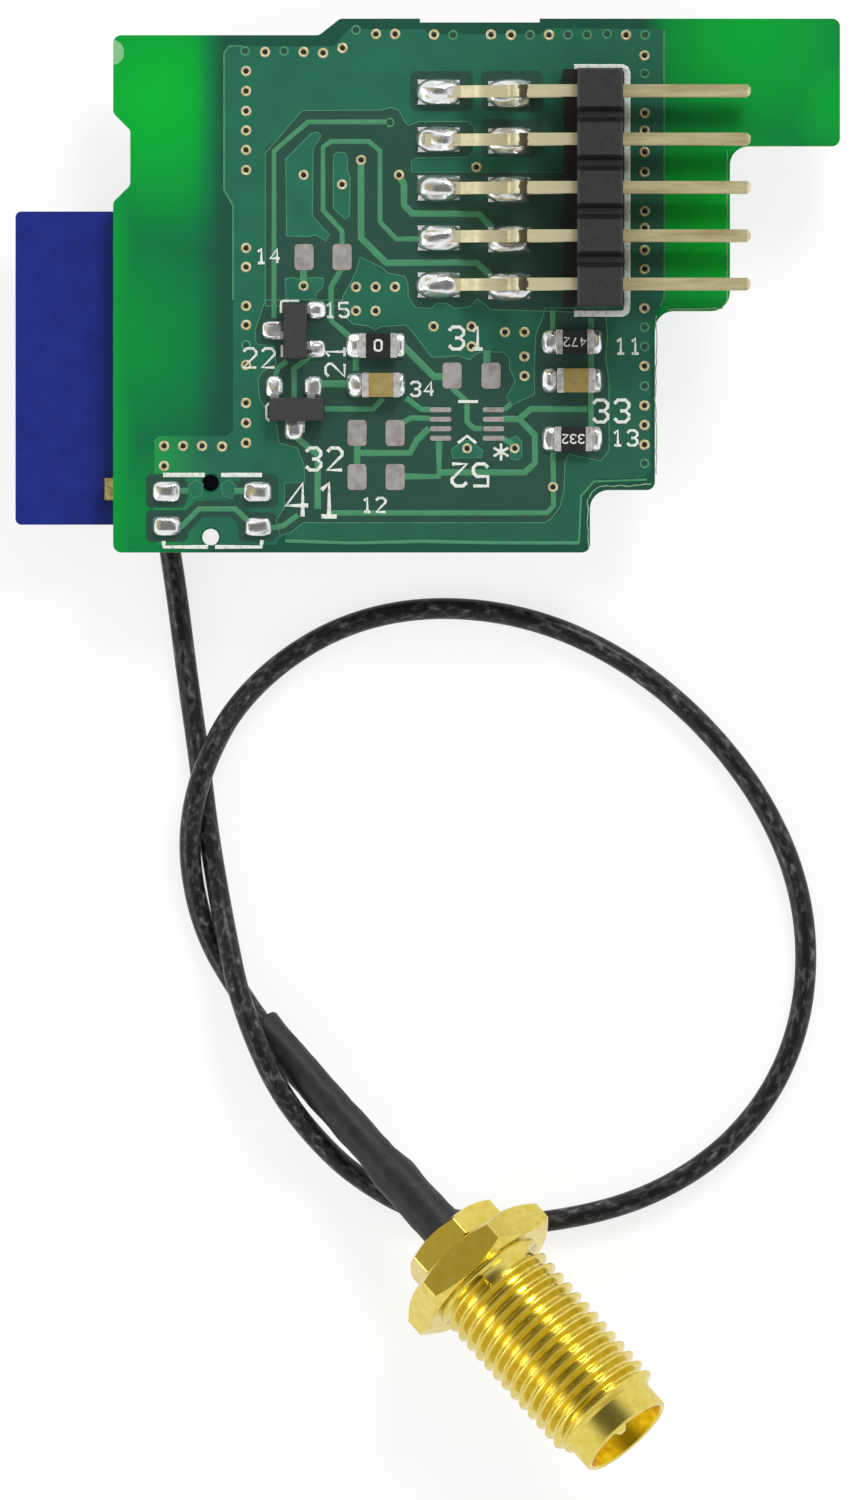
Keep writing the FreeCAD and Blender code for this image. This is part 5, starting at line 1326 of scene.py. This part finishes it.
def paper_material():
    """White paper sweep: the camera and the mirrors see it lit, and it keeps soft shadows."""
    paper = bpy.data.materials.new("white_paper_sweep")
    paper.use_nodes = True
    tree = paper.node_tree
    tree.nodes.clear()
    path = add_node(tree, "ShaderNodeLightPath")
    seen = strongest(tree, [path.outputs["Is Camera Ray"], path.outputs["Is Glossy Ray"],
                            path.outputs["Is Transmission Ray"]])
    share = add_node(tree, "ShaderNodeMath", {0: seen, 1: 0.72}, operation="MULTIPLY")
    matte = add_node(tree, "ShaderNodeBsdfDiffuse", {"Color": grey(0.94)})
    white = add_node(tree, "ShaderNodeEmission", {"Color": grey(1.0), "Strength": 1.08})
    mixed = add_node(tree, "ShaderNodeMixShader", {0: share.outputs["Value"],
                     1: matte.outputs["BSDF"], 2: white.outputs["Emission"]})
    add_node(tree, "ShaderNodeOutputMaterial", {"Surface": mixed.outputs["Shader"]})
    return paper


def studio_room():
    """Room that is bright near the horizon and dim overhead, where the camera hangs."""
    world = bpy.data.worlds.new("studio_room")
    world.use_nodes = True
    tree = world.node_tree
    tree.nodes.clear()
    ray = add_node(tree, "ShaderNodeTexCoord").outputs["Generated"]
    height = add_node(tree, "ShaderNodeSeparateXYZ", {"Vector": ray})
    room = add_node(tree, "ShaderNodeValToRGB", {"Fac": height.outputs["Z"]},
                    stops=[(0.0, grey(1.0)), (0.55, grey(1.0)), (0.75, grey(0.70)),
                           (0.90, grey(0.22)), (1.0, grey(0.14))])
    # The jack's flats mirror a dim warm doorway high on the left.
    toward = add_node(tree, "ShaderNodeVectorMath", {0: ray, 1: DOOR_TOWARD},
                      operation="DOT_PRODUCT")
    door = add_node(tree, "ShaderNodeMapRange",
                    {"Value": toward.outputs["Value"], "From Min": 0.925, "From Max": 0.965,
                     "To Min": 0.0, "To Max": 1.0}, interpolation_type="SMOOTHSTEP")
    seen = add_node(tree, "ShaderNodeMix", {"Factor": door.outputs["Result"],
                    "A": room.outputs["Color"], "B": hex_colour(DOOR_COLOUR)}, data_type="RGBA")
    back = add_node(tree, "ShaderNodeBackground", {"Color": seen.outputs["Result"],
                    "Strength": 1.0})
    add_node(tree, "ShaderNodeOutputWorld", {"Surface": back.outputs["Background"]})
    return world


class RADIOMODULE_OT_stage(bpy.types.Operator):
    """Adds the pale floor, the room and the lamps"""

    bl_idname = "radio_module.stage"
    bl_label = "Add the stage"

    def execute(self, context):
        look = context.scene.radio_module.stage
        bm = bmesh.new()
        bmesh.ops.create_grid(bm, x_segments=1, y_segments=1, size=FLOOR_REACH)
        mesh = bpy.data.meshes.new("floor")
        bm.to_mesh(mesh)
        bm.free()
        mesh.materials.append(paper_material())
        floor = bpy.data.objects.new("floor", mesh)
        floor.location = (0, 0, -0.02 * MM)
        context.scene.collection.objects.link(floor)
        context.scene.world = studio_room()
        for name, place, size, power in (
                ("key_lamp", KEY_PLACE, 0.24, look.key_power),
                ("fill_lamp", FILL_PLACE, 0.34, look.fill_power)):
            data = bpy.data.lights.new(name, "AREA")
            data.shape = "DISK"
            data.size = size
            data.energy = power
            lamp = bpy.data.objects.new(name, data)
            lamp.location = place
            aim = Vector(LAMP_AIM) - Vector(place)
            lamp.rotation_euler = aim.to_track_quat("-Z", "Y").to_euler()
            context.scene.collection.objects.link(lamp)
        context.scene.view_settings.view_transform = "Standard"
        return {"FINISHED"}


STEPS = (
    RADIOMODULE_OT_camera, RADIOMODULE_OT_cable, RADIOMODULE_OT_jack, RADIOMODULE_OT_sleeve,
    RADIOMODULE_OT_artwork, RADIOMODULE_OT_vias, RADIOMODULE_OT_solder, RADIOMODULE_OT_parts,
    RADIOMODULE_OT_radio, RADIOMODULE_OT_stage,
)


class RADIOMODULE_PT_panel(bpy.types.Panel):
    """Lists the steps and settings of the module"""

    bl_label = "Radio module"
    bl_idname = "RADIOMODULE_PT_panel"
    bl_space_type = "VIEW_3D"
    bl_region_type = "UI"
    bl_category = "Radio module"

    def draw(self, context):
        look = context.scene.radio_module
        for group in (look.board, look.metal, look.cable, look.stage):
            box = self.layout.box()
            for name in group.__annotations__:
                box.prop(group, name)
        for step in STEPS:
            self.layout.operator(step.bl_idname)


CLASSES = (BoardLook, MetalLook, CableLook, StageLook, ModuleLook, *STEPS, RADIOMODULE_PT_panel)


def register():
    for kind in CLASSES:
        bpy.utils.register_class(kind)
    bpy.types.Scene.radio_module = bpy.props.PointerProperty(
        type=ModuleLook, name="Radio module", description="Settings of the radio module")


def unregister():
    del bpy.types.Scene.radio_module
    for kind in reversed(CLASSES):
        bpy.utils.unregister_class(kind)


def main():
    register()
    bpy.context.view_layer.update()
    bpy.ops.radio_module.camera()
    bpy.ops.radio_module.cable()
    bpy.ops.radio_module.jack()
    bpy.ops.radio_module.sleeve()
    bpy.ops.radio_module.artwork()
    bpy.ops.radio_module.vias()
    bpy.ops.radio_module.solder()
    bpy.ops.radio_module.parts()
    bpy.ops.radio_module.radio()
    bpy.ops.radio_module.stage()
    bpy.context.view_layer.update()


if __name__ == "__main__":
    main()
